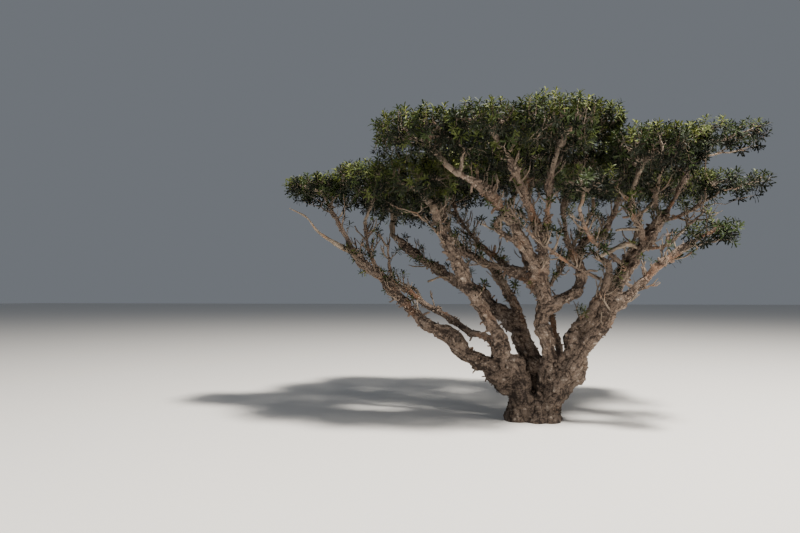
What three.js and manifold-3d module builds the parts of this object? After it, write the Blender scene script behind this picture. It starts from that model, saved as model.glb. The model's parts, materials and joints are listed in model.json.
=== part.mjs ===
// A frankincense tree: a short fluted trunk that parts into leaning stems just above the ground,
// crooked boughs, and a flat, wide crown of foliage masses. Millimetres, +Z up, the origin at the
// middle of the flat cut at ground level. +Y looks from the front of the tree to its back, and +X is
// the right-hand side from the front.
import * as THREE from "three";
import { mergeVertices } from "three/addons/utils/BufferGeometryUtils.js";
import Module from "manifold-3d";

const wasm = await Module();
wasm.setup();

// Clearances
const GAP = 0.3; // between two pieces of wood, and between a bough's tip and the stem of its foliage
const SKIN = 0.5; // how much fatter the wood is drawn when it is cut away from a neighbour
const ROOM = 6; // between a foliage mass and the next one's space
const CLEAR = 14; // least room between a leaf or twig and a limb that it passes
const INSIDE = 0.999; // share of the way to a fence that a place is moved to
const SAME = 1e-3; // corners nearer than this are one

// The trunk: half-widths of its rings from the ground to its crown, and the ridges that run up it
const TRUNK = {
  heights: [0, 50, 130, 230, 300, 350],
  widths: [372, 345, 328, 325, 300, 200],
  shift: [-25, -8, 0, 0, 0, 0], // how far its rings stand to the right of the origin
  sides: 18,
  ridges: 5,
  ridgeDepth: [0.13, 0.11, 0.08, 0.07, 0.06, 0.04],
  ridgeTurn: 24, // degrees
  flatness: 0.9, // depth over width
  forkRings: 1, // how many rings of each stem belong to it
};

// How a limb is drawn
const PATH_STEPS = 24; // short steps that its middle line is worked out in
const STRETCH = 300; // between two rings
const FEWEST_RINGS = 3;
const KINK = 0.4; // sideways shift of a ring, over its half-thickness
const LUMP = 0.13; // change of thickness from ring to ring
const COLLAR = 1.18; // how much thicker a limb is at its foot
const COLLAR_LENGTH = 1.6; // over its thickness
const TAPER = 0.8; // under 1, a limb thins faster near its foot
const THIN = 80; // a limb this thick or less has fewer sides
const SIDES = { stem: 8, bough: 6, thin: 5 };

// Each limb: what it grows from, where (a place for a stem, or a share of the other limb's length), its
// length, its thickness at foot and tip, and its heading and its climb in degrees at even spaces along
// it (heading 0 is +X, 90 is +Y).
const LIMBS = {
  west_stem: {
    from: "trunk", foot: [-160, -55, 375], long: 2975, thick: [270, 115],
    heading: [189, 190, 189, 188], climb: [35, 36, 42, 46],
  },
  left_stem: {
    from: "trunk", foot: [-170, -110, 330], long: 2680, thick: [310, 110],
    heading: [211, 208, 211, 219], climb: [70, 61, 58, 69],
  },
  back_left_stem: {
    from: "trunk", foot: [50, 130, 330], long: 3170, thick: [310, 95],
    heading: [138, 156, 175, 185], climb: [81, 47, 27, 44],
  },
  centre_stem: {
    from: "trunk", foot: [130, -75, 380], long: 3305, thick: [245, 90],
    heading: [-20, -135, -135, -146], climb: [87, 81, 50, 22],
  },
  right_stem: {
    from: "trunk", foot: [215, 45, 370], long: 2830, thick: [370, 130],
    heading: [-6, 15, 18, 10, -18], climb: [50, 66, 53, 56, 53],
  },
  outer_stem: {
    from: "trunk", foot: [255, -120, 320], long: 2550, thick: [245, 80],
    heading: [-33, -12, -29, -18, -2], climb: [58, 55, 56, 38, 41],
  },
  thin_stem: {
    from: "trunk", foot: [310, 210, 250], long: 3270, thick: [110, 60],
    heading: [20, 195, 56, 50, 48], climb: [62, 82, 41, 47, 54],
  },
  west_upper: {
    from: "left_stem", at: 0.28, long: 2740, thick: [120, 55],
    heading: [142, 178, 188, 231], climb: [17, 31, 35, 97],
  },
  west_high: {
    from: "west_stem", at: 0.98, long: 760, thick: [80, 50],
    heading: [171, 166], climb: [64, 57],
  },
  west_dead: {
    from: "west_stem", at: 0.98, long: 1080, thick: [75, 18],
    heading: [202, 198, 194, 182], climb: [30, 26, 56, 13],
  },
  rear_bough: {
    from: "back_left_stem", at: 0.16, long: 1850, thick: [190, 85],
    heading: [138, 144, 179], climb: [72, 62, 20],
  },
  left_inner: {
    from: "rear_bough", at: 0.98, long: 860, thick: [80, 60],
    heading: [193, 226, 281], climb: [38, 64, 70],
  },
  back_left_bough: {
    from: "centre_stem", at: 0.46, long: 2410, thick: [105, 60],
    heading: [140, 133, 128, 112], climb: [11, 30, 34, 49],
  },
  upper_bough: {
    from: "centre_stem", at: 0.37, long: 2030, thick: [165, 80],
    heading: [-73, -123, -118], climb: [84, 53, 42],
  },
  front_top_bough: {
    from: "upper_bough", at: 0.33, long: 1050, thick: [110, 70],
    heading: [-48, -88, -86], climb: [71, 51, 43],
  },
  heart_bough: {
    from: "upper_bough", at: 0.25, long: 1250, thick: [110, 65],
    heading: [131, 111, 114], climb: [66, 64, 72],
  },
  east_bough: {
    from: "centre_stem", at: 0.33, long: 2100, thick: [190, 65],
    heading: [7, -8, 162, 4, 41, 57], climb: [8, 41, 92, 21, 51, 69],
  },
  top_bough: {
    from: "east_bough", at: 0.4, long: 1430, thick: [90, 60],
    heading: [194, 144, 20, -35], climb: [57, 78, 68, 58],
  },
  back_bough: {
    from: "centre_stem", at: 0.44, long: 2070, thick: [120, 65],
    heading: [109, 106, 101], climb: [26, 34, 54],
  },
  back_east_bough: {
    from: "right_stem", at: 0.54, long: 1850, thick: [120, 60],
    heading: [72, 58, 60], climb: [23, 42, 60],
  },
  front_bough: {
    from: "right_stem", at: 0.68, long: 1550, thick: [75, 45],
    heading: [241, 235, 253], climb: [24, 17, 45],
  },
  shoulder_bough: {
    from: "right_stem", at: 0.82, long: 930, thick: [90, 60],
    heading: [251, 239, 274], climb: [41, 30, 34],
  },
  right_bough: {
    from: "right_stem", at: 0.97, long: 450, thick: [80, 60],
    heading: [209, 283], climb: [50, 60],
  },
  right_top_bough: {
    from: "right_stem", at: 0.98, long: 1090, thick: [85, 50],
    heading: [28, 29, 11], climb: [51, 61, 44],
  },
  right_mid_bough: {
    from: "right_stem", at: 0.95, long: 690, thick: [65, 42],
    heading: [-50, -46], climb: [4, 28],
  },
  right_low_bough: {
    from: "outer_stem", at: 0.97, long: 380, thick: [55, 34],
    heading: [-15, -12], climb: [35, 20],
  },
  upright_spur: {
    from: "west_upper", at: 0.65, long: 580, thick: [50, 34],
    heading: [253, 287], climb: [58, 71],
  },
  hooked_spur: {
    from: "centre_stem", at: 0.56, long: 840, thick: [120, 62],
    heading: [202, 218, 180, 255, 388], climb: [4, 48, 32, 68, -22],
  },
  cut_stub: {
    from: "right_stem", at: 0.79, long: 890, thick: [60, 50],
    heading: [230, 226, 229], climb: [27, -20, -18],
  },
  pale_stub: {
    from: "shoulder_bough", at: 0.3, long: 380, thick: [46, 30],
    heading: [200, 215], climb: [4, -12],
  },
  dead_stub: {
    from: "back_left_stem", at: 0.67, long: 440, thick: [48, 38],
    heading: [207, 235], climb: [5, -20],
  },
  dead_spur: {
    from: "west_upper", at: 0.48, long: 560, thick: [45, 28],
    heading: [120, 168, 175], climb: [69, 20, 34],
  },
  cross_bough: {
    from: "centre_stem", at: 0.35, long: 1910, thick: [120, 60],
    heading: [141, 160, 186, 204], climb: [63, 20, 18, 85],
  },
  slender_bough: {
    from: "right_stem", at: 0.6, long: 2130, thick: [62, 32],
    heading: [-134, -137, -140, -138], climb: [11, 21, 30, 50],
  },
  side_bough: {
    from: "right_stem", at: 0.8, long: 1010, thick: [60, 34],
    heading: [-45, -35, -25], climb: [-18, 42, 37],
  },
  knee_stem: {
    from: "trunk", foot: [230, -130, 310], long: 2230, thick: [290, 40],
    heading: [-25, 5, 18, 22, -79, -225], climb: [69, 65, 77, 38, 80, 18],
  },
};

// Each foliage mass: the bough whose tip it grows from, the middle of its space, its half-widths along
// X, Y and Z, and whether it is so dense that it has a core.
const MASSES = {
  west_tip_leaves: {
    bough: "west_high", middle: [-2830, -320, 3105], half: [590, 600, 235], dense: true,
  },
  west_leaves: {
    bough: "west_upper", middle: [-2250, -250, 3125], half: [640, 760, 365], dense: true,
  },
  far_left_leaves: {
    bough: "back_left_stem", middle: [-1850, 820, 3045], half: [760, 740, 370], dense: true,
  },
  left_leaves: {
    bough: "left_stem", middle: [-1480, -780, 3080], half: [640, 640, 430], dense: true,
  },
  inner_leaves: {
    bough: "left_inner", middle: [-1030, 150, 3360], half: [700, 760, 370], dense: true,
  },
  back_left_leaves: {
    bough: "back_left_bough", middle: [-1220, 1480, 3380], half: [880, 780, 320], dense: true,
  },
  upper_left_leaves: {
    bough: "centre_stem", middle: [-1290, -1130, 3530], half: [680, 680, 380], dense: true,
  },
  upper_leaves: {
    bough: "upper_bough", middle: [-520, -1300, 3500], half: [640, 700, 370], dense: true,
  },
  front_leaves: {
    bough: "front_top_bough", middle: [230, -1220, 3530], half: [660, 700, 380], dense: true,
  },
  heart_leaves: {
    bough: "heart_bough", middle: [-130, 200, 3640], half: [900, 880, 390], dense: true,
  },
  top_leaves: {
    bough: "top_bough", middle: [660, -420, 3675], half: [630, 720, 385], dense: true,
  },
  back_leaves: {
    bough: "back_bough", middle: [-120, 1530, 3500], half: [860, 800, 330], dense: true,
  },
  middle_leaves: {
    bough: "east_bough", middle: [1080, 620, 3400], half: [780, 760, 380], dense: true,
  },
  far_leaves: {
    bough: "thin_stem", middle: [970, 1620, 3350], half: [800, 740, 320], dense: true,
  },
  far_right_leaves: {
    bough: "back_east_bough", middle: [1950, 1240, 3230], half: [780, 720, 310], dense: true,
  },
  low_front_leaves: {
    bough: "front_bough", middle: [630, -1140, 2870], half: [480, 470, 270], dense: false,
  },
  shoulder_leaves: {
    bough: "shoulder_bough", middle: [1280, -640, 3320], half: [660, 660, 370], dense: true,
  },
  right_leaves: {
    bough: "right_bough", middle: [1760, -80, 3460], half: [620, 630, 370], dense: true,
  },
  right_top_leaves: {
    bough: "right_top_bough", middle: [2440, 400, 3720], half: [700, 540, 310], dense: false,
  },
  right_mid_leaves: {
    bough: "right_mid_bough", middle: [2310, -260, 2950], half: [590, 500, 260], dense: false,
  },
  right_low_leaves: {
    bough: "right_low_bough", middle: [2050, -700, 2340], half: [390, 380, 225], dense: false,
  },
};

// How a mass is grown
const FIRST_MASS_SEED = 100;
const DENSE_TIPS = 4; // twig tips of a dense mass, which its core hides
const OPEN_TIPS = 9; // twig tips of an open mass
const LAYERS = [0.9, 0.2, 0.6, -0.4]; // heights of the tips, over the height of the space, taken in turn
const TIP_INSET = [200, 200, 110]; // how far the tips stay inside the space along X, Y and Z
const DOME = 0.8; // how much flatter the layers of tips lie at the edge of the space
const TURN_SWAY = 0.2; // of a tip or a spray about the middle of its space, in radians, either way
const FORK_SHARE = 0.5; // how far towards its tips a twig forks
const SAG = 0.1; // how far below the straight line a fork hangs, over the twig's length
const TWIG = 12; // half-thickness of a last twig
const TWIG_POWER = 0.4; // how the half-thickness grows with the number of tips that a twig carries
const TWIG_SIDES = 3;
const TWIG_END = 0.7; // half-thickness of a last twig at its tip, over TWIG
const TWIG_RUN = 0.4; // how far a twig runs on into the next, over its half-thickness
const TWIG_CHECKS = 4; // places along a twig that are checked for room
const STEEP = 0.9; // rise of a line over its length from which its rings are not turned by the upright

// The stem of a mass, over the half-thickness of its bough's tip: its length to the first twigs, how
// far it runs on into them, and its half-thickness at its foot and its end
const STEM = { long: 2, run: 0.6, foot: 0.9, end: 0.7 };

// A spray: a star of leaves at the end of its own twig
const SPRAY = {
  leaves: 6, // a multiple of the twig's sides
  long: [215, 310], // of its leaves
  tilt: [35, 87], // of its leaves off its own line, in degrees
  leafTries: 14, // how often a leaf is thrown again to stay inside the space
  shorter: 0.95, // each time
  sway: 0.25, // of a leaf round the star, over the room it has, either way
  lift: 0.6, // how far the star of an open mass leans from its twig's line towards the upright
  notch: 50, // from the root to where two leaves part
  notchRise: 10,
  top: 22, // above the root
  neck: 16, // below the root
  neckHalf: 9.6, // half-thickness of the twig there
  tries: 16,
};
const SPRAYS_ON_CORE = 8;
const STAND = 30; // how far the root of a spray stands off its core
const SINK = 34; // how deep its twig goes into the core
const CORE = { inset: [225, 225, 125], round: 8, high: 4, bump: 0.08 };
const GOLDEN_ANGLE = Math.PI * (3 - Math.sqrt(5));
const UP = new THREE.Vector3(0, 0, 1);

const BARK = { color: 0x6f5c4d, roughness: 0.95, metalness: 0 };
const DEAD_BARK = { color: 0x8f7a66, roughness: 0.95, metalness: 0 };
const LEAF = { color: 0x3d4f24, roughness: 0.7, metalness: 0 };
const DEAD_LIMBS = ["west_dead", "cut_stub", "pale_stub", "dead_stub", "dead_spur"];

const radians = THREE.MathUtils.degToRad;
const mix = THREE.MathUtils.lerp;

// Seeded numbers from 0 to 1, the same on every run.
class Dice {
  constructor(seed) {
    this.state = Math.imul(seed + 1, 2654435761) >>> 0;
  }

  roll() {
    this.state = (Math.imul(this.state, 1664525) + 1013904223) >>> 0;
    return this.state / 2 ** 32;
  }

  between(low, high) {
    return mix(low, high, this.roll());
  }
}

// A value from a list that is spread evenly from 0 to 1.
function along(list, share) {
  const place = share * (list.length - 1);
  const before = Math.min(Math.floor(place), list.length - 2);
  return mix(list[before], list[before + 1], place - before);
}

// The direction of a heading and a climb, in degrees.
function towards(heading, climb) {
  const flat = Math.cos(radians(climb));
  const turn = radians(heading);
  return new THREE.Vector3(flat * Math.cos(turn), flat * Math.sin(turn), Math.sin(radians(climb)));
}

// Two directions square to a line, turned as little as possible from the last one's.
function squareTo(line, last) {
  const side = last.clone().addScaledVector(line, -last.dot(line)).normalize();
  return [side, new THREE.Vector3().crossVectors(line, side)];
}

// The directions square to a line that its rings are drawn in.
function ringSides(line) {
  return squareTo(line, Math.abs(line.z) < STEEP ? UP : new THREE.Vector3(1, 0, 0));
}

// The faces of a closed body through rings of points, each ring running the same way round, with flat
// ends.
function loftFaces(rings) {
  const sides = rings[0].length;
  const faces = [];
  for (let i = 0; i < rings.length - 1; i++) {
    for (let k = 0; k < sides; k++) {
      const a = i * sides + k;
      const b = i * sides + ((k + 1) % sides);
      faces.push(a, b, b + sides, a, b + sides, a + sides);
    }
  }
  const end = (rings.length - 1) * sides;
  for (let k = 1; k < sides - 1; k++) {
    faces.push(0, k + 1, k);
    faces.push(end, end + k, end + k + 1);
  }
  return faces;
}

// The same body as a solid.
function loft(rings) {
  return closed(rings.flat().flatMap((p) => [p.x, p.y, p.z]), loftFaces(rings));
}

// A mesh made of corners and faces as a solid.
function closed(corners, faces) {
  const geometry = new THREE.BufferGeometry();
  geometry.setAttribute("position", new THREE.Float32BufferAttribute(corners, 3));
  geometry.setIndex(faces);
  const merged = mergeVertices(geometry, SAME);
  const vertProperties = merged.getAttribute("position").array;
  const triVerts = new Uint32Array(merged.index.array);
  return new wasm.Manifold(new wasm.Mesh({ numProp: 3, vertProperties, triVerts }));
}

// A ring of points round a place, in the plane of two directions.
function ring(place, side, across, half, sides) {
  const points = [];
  for (let k = 0; k < sides; k++) {
    const turn = (2 * Math.PI * k) / sides;
    const point = place.clone().addScaledVector(side, half * Math.cos(turn));
    points.push(point.addScaledVector(across, half * Math.sin(turn)));
  }
  return points;
}

// The largest single body of a solid.
function largest(solid) {
  const bodies = solid.decompose();
  return bodies.reduce((best, body) => (body.volume() > best.volume() ? body : best));
}

// One limb: its middle line, its thickness along it, and its solid.
class Limb {
  constructor(name, sizes, parent, seed) {
    const dice = new Dice(seed);
    this.name = name;
    this.thick = sizes.thick;
    this.isStem = Boolean(sizes.foot);
    this.long = sizes.long;
    const foot = this.isStem ? new THREE.Vector3(...sizes.foot) : parent.placeAt(sizes.at);
    const line = [foot];
    for (let i = 0; i < PATH_STEPS; i++) {
      const share = (i + 0.5) / PATH_STEPS;
      const step = towards(along(sizes.heading, share), along(sizes.climb, share));
      line.push(line[i].clone().addScaledVector(step, sizes.long / PATH_STEPS));
    }
    this.line = line;
    this.rings = Math.max(FEWEST_RINGS, Math.round(sizes.long / STRETCH));
    this.kinks = [];
    this.lumps = [];
    for (let i = 0; i <= this.rings; i++) {
      const held = i === 0 || i === this.rings ? 0 : 1;
      const reach = held * KINK * this.halfAt(i / this.rings);
      const shift = () => dice.between(-reach, reach);
      this.kinks.push(new THREE.Vector3(shift(), shift(), shift()));
      this.lumps.push(1 + held * dice.between(-LUMP, LUMP));
    }
  }

  // Half its thickness at a share of its length, without its lumps.
  halfAt(share) {
    const half = mix(this.thick[0], this.thick[1], share ** TAPER) / 2;
    const collar = Math.max(0, 1 - (share * this.long) / (COLLAR_LENGTH * this.thick[0]));
    return half * mix(1, COLLAR, collar);
  }

  // The place on its middle line at a share of its length, with the kinks between its rings.
  placeAt(share) {
    const step = Math.min(Math.floor(share * PATH_STEPS), PATH_STEPS - 1);
    const place = this.line[step].clone().lerp(this.line[step + 1], share * PATH_STEPS - step);
    const before = Math.min(Math.floor(share * this.rings), this.rings - 1);
    const kink = this.kinks[before].clone().lerp(this.kinks[before + 1], share * this.rings - before);
    return place.add(kink);
  }

  // The direction of its last stretch.
  get heading() {
    return this.placeAt(1).sub(this.placeAt(1 - 1 / this.rings)).normalize();
  }

  // Its solid from its foot to a ring, with its sides and ends moved out by extra.
  solid(extra, last = this.rings) {
    const sides = this.isStem ? SIDES.stem : this.thick[0] > THIN ? SIDES.bough : SIDES.thin;
    const rings = [];
    let [side, across] = ringSides(this.line[1].clone().sub(this.line[0]).normalize());
    for (let i = 0; i <= last; i++) {
      const before = this.placeAt(Math.max(i - 1, 0) / this.rings);
      const after = this.placeAt(Math.min(i + 1, this.rings) / this.rings);
      [side, across] = squareTo(after.sub(before).normalize(), side);
      const share = i / this.rings;
      const place = this.placeAt(share);
      if (i === 0) place.addScaledVector(across.clone().cross(side), extra);
      if (i === last) place.addScaledVector(side.clone().cross(across), extra);
      rings.push(ring(place, side, across, this.halfAt(share) * this.lumps[i] + extra, sides));
    }
    return loft(rings);
  }

  // How far a place is from its bark.
  distanceTo(place) {
    let least = Infinity;
    for (let i = 0; i <= 2 * this.rings; i++) {
      const share = i / (2 * this.rings);
      least = Math.min(least, this.placeAt(share).distanceTo(place) - this.halfAt(share) * (1 + LUMP));
    }
    return least;
  }
}

// The foot of the trunk: fluted rings from the flat cut at the ground up to where the stems part.
function base(extra) {
  const rings = TRUNK.heights.map((height, i) => {
    const points = [];
    for (let k = 0; k < TRUNK.sides; k++) {
      const turn = (2 * Math.PI * k) / TRUNK.sides;
      const ridge = 1 + TRUNK.ridgeDepth[i] * Math.cos(TRUNK.ridges * turn + radians(TRUNK.ridgeTurn));
      const half = TRUNK.widths[i] * ridge + extra;
      const x = half * Math.cos(turn) + TRUNK.shift[i];
      points.push(new THREE.Vector3(x, half * TRUNK.flatness * Math.sin(turn), height));
    }
    return points;
  });
  return loft(rings);
}

// The space of one foliage mass: an ellipsoid, less what lies past the fences between it and its
// neighbours.
class Space {
  constructor(sizes) {
    this.middle = new THREE.Vector3(...sizes.middle);
    this.half = new THREE.Vector3(...sizes.half);
    this.fences = [];
  }

  // How far it reaches from its middle in a direction.
  reach(direction) {
    return new THREE.Vector3().copy(direction).multiply(this.half).length();
  }

  // Puts a fence between it and another space, nearer the smaller one.
  fenceFrom(other) {
    const way = other.middle.clone().sub(this.middle);
    const apart = way.length();
    way.normalize();
    const share = this.reach(way) / (this.reach(way) + other.reach(way));
    this.fences.push({ way, limit: this.middle.dot(way) + apart * share - ROOM / 2 });
  }

  fenced(place) {
    return this.fences.every((fence) => place.dot(fence.way) < fence.limit);
  }

  holds(place) {
    return this.fenced(place) && place.clone().sub(this.middle).divide(this.half).length() < 1;
  }

  // The place moved towards the middle until the fences hold it.
  pulledIn(place) {
    const way = place.clone().sub(this.middle);
    let share = 1;
    for (const fence of this.fences) {
      const past = way.dot(fence.way);
      const room = fence.limit - this.middle.dot(fence.way);
      if (past > room) share = Math.min(share, room / past);
    }
    return this.middle.clone().addScaledVector(way, share * INSIDE);
  }
}

// The places of a mass's twig tips: a sunflower spiral in plan, at heights taken in turn.
function tipsOf(space, count, dice) {
  const room = space.half.clone().sub(new THREE.Vector3(...TIP_INSET));
  const tips = [];
  for (let k = 0; k < count; k++) {
    const out = Math.sqrt((k + 0.5) / count);
    const turn = k * GOLDEN_ANGLE + dice.between(-TURN_SWAY, TURN_SWAY);
    const dome = Math.sqrt(1 - DOME * out * out) * LAYERS[k % LAYERS.length];
    const spot = new THREE.Vector3(out * Math.cos(turn), out * Math.sin(turn), dome);
    tips.push(space.pulledIn(spot.multiply(room).add(space.middle)));
  }
  return tips;
}

// Parts a list of tips into two halves across its longer side in plan.
function parted(tips) {
  const spread = (axis) => Math.max(...tips.map((t) => t[axis])) - Math.min(...tips.map((t) => t[axis]));
  const axis = spread("x") > spread("y") ? "x" : "y";
  const sorted = [...tips].sort((a, b) => a[axis] - b[axis]);
  const half = Math.ceil(tips.length / 2);
  return [sorted.slice(0, half), sorted.slice(half)];
}

// The twigs from one place to all its tips, each forking in two on the way. A twig that keeps() refuses
// is left out with all it would carry.
function branch(from, tips, keeps, twigs) {
  const centre = tips.reduce((sum, t) => sum.add(t), new THREE.Vector3()).divideScalar(tips.length);
  const last = tips.length === 1;
  const to = last ? tips[0] : from.clone().lerp(centre, FORK_SHARE);
  if (!last) to.z -= SAG * to.distanceTo(from);
  const half = TWIG * tips.length ** TWIG_POWER;
  const endHalf = last ? TWIG * TWIG_END : TWIG * (tips.length / 2) ** TWIG_POWER;
  const twig = { from, to, half, endHalf, last };
  if (!keeps(twig)) return;
  twigs.push(twig);
  if (!last) parted(tips).forEach((group) => branch(to, group, keeps, twigs));
}

// A straight tapering twig with three sides, sunk into the twig before it.
function twigSolid(twig) {
  const line = twig.to.clone().sub(twig.from).normalize();
  const start = twig.from.clone().addScaledVector(line, -TWIG_RUN * twig.half);
  const end = twig.to.clone().addScaledVector(line, TWIG_RUN * twig.endHalf);
  const [side, across] = ringSides(line);
  const rings = [
    ring(start, side, across, twig.half, TWIG_SIDES),
    ring(end, side, across, twig.endHalf, TWIG_SIDES),
  ];
  return loft(rings);
}

// The points of a star of leaves round a root: each leaf's tip, then the notch after it. It gives
// nothing when a leaf cannot be placed.
function starPoints(root, line, first, keeps, dice) {
  const [side, across] = ringSides(line);
  const outAt = (turn) => {
    const out = side.clone().multiplyScalar(Math.cos(turn));
    return out.addScaledVector(across, Math.sin(turn));
  };
  const points = [];
  for (let k = 0; k < SPRAY.leaves; k++) {
    let long = dice.between(...SPRAY.long);
    let tip;
    for (let i = 0; i < SPRAY.leafTries && !(tip && keeps(tip)); i++) {
      const turn = first + (2 * Math.PI * (k + dice.between(-SPRAY.sway, SPRAY.sway))) / SPRAY.leaves;
      const tilt = radians(dice.between(...SPRAY.tilt));
      const way = outAt(turn).multiplyScalar(Math.sin(tilt)).addScaledVector(line, Math.cos(tilt));
      tip = root.clone().addScaledVector(way, long);
      long *= SPRAY.shorter;
    }
    if (!keeps(tip)) return [];
    const notchTurn = first + (2 * Math.PI * (k + 0.5)) / SPRAY.leaves;
    const notch = root.clone().addScaledVector(outAt(notchTurn), SPRAY.notch);
    points.push(tip, notch.addScaledVector(line, SPRAY.notchRise));
  }
  return points;
}

// The faces of a twig's sides and of its foot, without its end.
function twigFaces() {
  const faces = [0, 2, 1];
  for (let a = 0; a < TWIG_SIDES; a++) {
    const b = (a + 1) % TWIG_SIDES;
    faces.push(a, b, b + TWIG_SIDES, a, b + TWIG_SIDES, a + TWIG_SIDES);
  }
  return faces;
}

// A twig with a star of leaves round its end, as one closed body. The star leans along a line of its
// own. It is thrown again while it cannot be placed or crosses another, and left out after the last
// throw.
function sprayFrom(foot, half, root, line, keeps, others, dice) {
  const [side, across] = ringSides(line);
  for (let i = 0; i < SPRAY.tries; i++) {
    const first = dice.between(0, 2 * Math.PI);
    const star = starPoints(root, line, first, keeps, dice);
    if (!star.length) continue;
    const turned = side.clone().multiplyScalar(Math.cos(first)).addScaledVector(across, Math.sin(first));
    const turnedAcross = new THREE.Vector3().crossVectors(line, turned);
    const neck = root.clone().addScaledVector(line, -SPRAY.neck);
    const rings = [
      ring(foot, turned, turnedAcross, half, TWIG_SIDES),
      ring(neck, turned, turnedAcross, SPRAY.neckHalf, TWIG_SIDES),
    ];
    const corners = [...rings.flat(), ...star, root.clone().addScaledVector(line, SPRAY.top)];
    const faces = twigFaces();
    const starStart = 2 * TWIG_SIDES;
    const edge = star.length;
    for (let k = 0; k < edge; k++) {
      const next = (k + 1) % edge;
      const under = TWIG_SIDES + Math.floor((k * TWIG_SIDES) / edge);
      faces.push(under, starStart + next, starStart + k, starStart + edge, starStart + k, starStart + next);
      if (((k + 1) * TWIG_SIDES) % edge < TWIG_SIDES) {
        faces.push(under, TWIG_SIDES + ((under - TWIG_SIDES + 1) % TWIG_SIDES), starStart + next);
      }
    }
    const spray = closed(corners.flatMap((p) => [p.x, p.y, p.z]), faces);
    if (others.every((other) => spray.intersect(other).isEmpty())) return [spray];
  }
  return [];
}

// The rings of a dense mass's core: a bumpy flattened ball that its fences cut flat.
function coreRings(space, dice) {
  const room = space.half.clone().sub(new THREE.Vector3(...CORE.inset));
  const rings = [];
  for (let i = 0; i < CORE.high; i++) {
    const rise = -Math.PI / 2 + (Math.PI * (i + 0.5)) / CORE.high;
    const points = [];
    for (let k = 0; k < CORE.round; k++) {
      const turn = (2 * Math.PI * (k + (i % 2) / 2)) / CORE.round;
      const share = 1 + dice.between(-CORE.bump, CORE.bump);
      const flat = Math.cos(rise);
      const spot = new THREE.Vector3(flat * Math.cos(turn), flat * Math.sin(turn), Math.sin(rise));
      points.push(space.pulledIn(spot.multiply(room).multiplyScalar(share).add(space.middle)));
    }
    rings.push(points);
  }
  return rings;
}

// The sprays that stand out of a core, spread evenly over its sides.
function coreSprays(rings, space, keeps, dice) {
  const corners = rings.flat();
  const faces = loftFaces(rings);
  const sprays = [];
  for (let k = 0; k < SPRAYS_ON_CORE; k++) {
    const rise = 1 - (2 * (k + 0.5)) / SPRAYS_ON_CORE;
    const flat = Math.sqrt(1 - rise * rise);
    const turn = k * GOLDEN_ANGLE + dice.between(-TURN_SWAY, TURN_SWAY);
    const way = new THREE.Vector3(flat * Math.cos(turn), flat * Math.sin(turn), rise);
    way.multiply(space.half).normalize();
    const ray = new THREE.Ray(space.middle, way);
    for (let i = 0; i < faces.length; i += 3) {
      const [a, b, c] = faces.slice(i, i + 3).map((corner) => corners[corner]);
      const place = ray.intersectTriangle(a, b, c, false, new THREE.Vector3());
      if (!place) continue;
      const line = new THREE.Vector3().crossVectors(b.clone().sub(a), c.clone().sub(a)).normalize();
      const foot = place.clone().addScaledVector(line, -SINK);
      sprays.push(...sprayFrom(foot, TWIG, place.addScaledVector(line, STAND), line, keeps, sprays, dice));
      break;
    }
  }
  return sprays;
}

// One foliage mass as a single solid: its stem, its twigs, its sprays and, where it is dense, its core.
function massSolid(sizes, space, bough, limbs, wood, seed) {
  const dice = new Dice(seed);
  const heading = bough.heading;
  const others = limbs.filter((limb) => limb !== bough);
  const keeps = (place) => space.holds(place) && limbs.every((limb) => limb.distanceTo(place) > CLEAR);
  const twigFits = (twig) => {
    for (let i = 1; i <= TWIG_CHECKS; i++) {
      const place = twig.from.clone().lerp(twig.to, i / TWIG_CHECKS);
      const blocked = others.some((limb) => limb.distanceTo(place) < CLEAR + twig.half);
      if (blocked || !space.fenced(place)) return false;
    }
    return true;
  };
  const halfTip = bough.halfAt(1);
  const start = bough.placeAt(1).addScaledVector(heading, GAP);
  const neck = start.clone().addScaledVector(heading, STEM.long * halfTip);
  const twigs = [];
  branch(neck, tipsOf(space, sizes.dense ? DENSE_TIPS : OPEN_TIPS, dice), twigFits, twigs);
  const [side, across] = ringSides(heading);
  const stemEnd = neck.clone().addScaledVector(heading, halfTip * STEM.run);
  const stem = loft([
    ring(start, side, across, halfTip * STEM.foot, SIDES.thin),
    ring(stemEnd, side, across, halfTip * STEM.end, SIDES.thin),
  ]);
  const pieces = [stem];
  if (sizes.dense) {
    const rings = coreRings(space, dice);
    pieces.push(loft(rings), ...twigs.map(twigSolid), ...coreSprays(rings, space, keeps, dice));
  } else {
    const inner = twigs.filter((twig) => !twig.last);
    const solids = inner.map(twigSolid);
    const sprays = [];
    for (const twig of twigs.filter((each) => each.last)) {
      const line = twig.to.clone().sub(twig.from).normalize();
      line.addScaledVector(UP, SPRAY.lift).normalize();
      const meets = (other) => other.to === twig.from || other.from === twig.from;
      const apart = solids.filter((solid, i) => !meets(inner[i]));
      sprays.push(...sprayFrom(twig.from, twig.half, twig.to, line, keeps, [...sprays, ...apart], dice));
    }
    pieces.push(...solids, ...sprays);
  }
  return largest(wasm.Manifold.union(pieces).subtract(wood));
}

// A solid as a named mesh.
function meshOf(name, solid, finish) {
  const made = solid.getMesh();
  const geometry = new THREE.BufferGeometry();
  geometry.setAttribute("position", new THREE.BufferAttribute(made.vertProperties, 3));
  geometry.setIndex(new THREE.BufferAttribute(made.triVerts, 1));
  geometry.computeVertexNormals();
  const mesh = new THREE.Mesh(geometry, new THREE.MeshStandardMaterial({ ...finish, flatShading: true }));
  mesh.name = name;
  return mesh;
}

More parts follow.
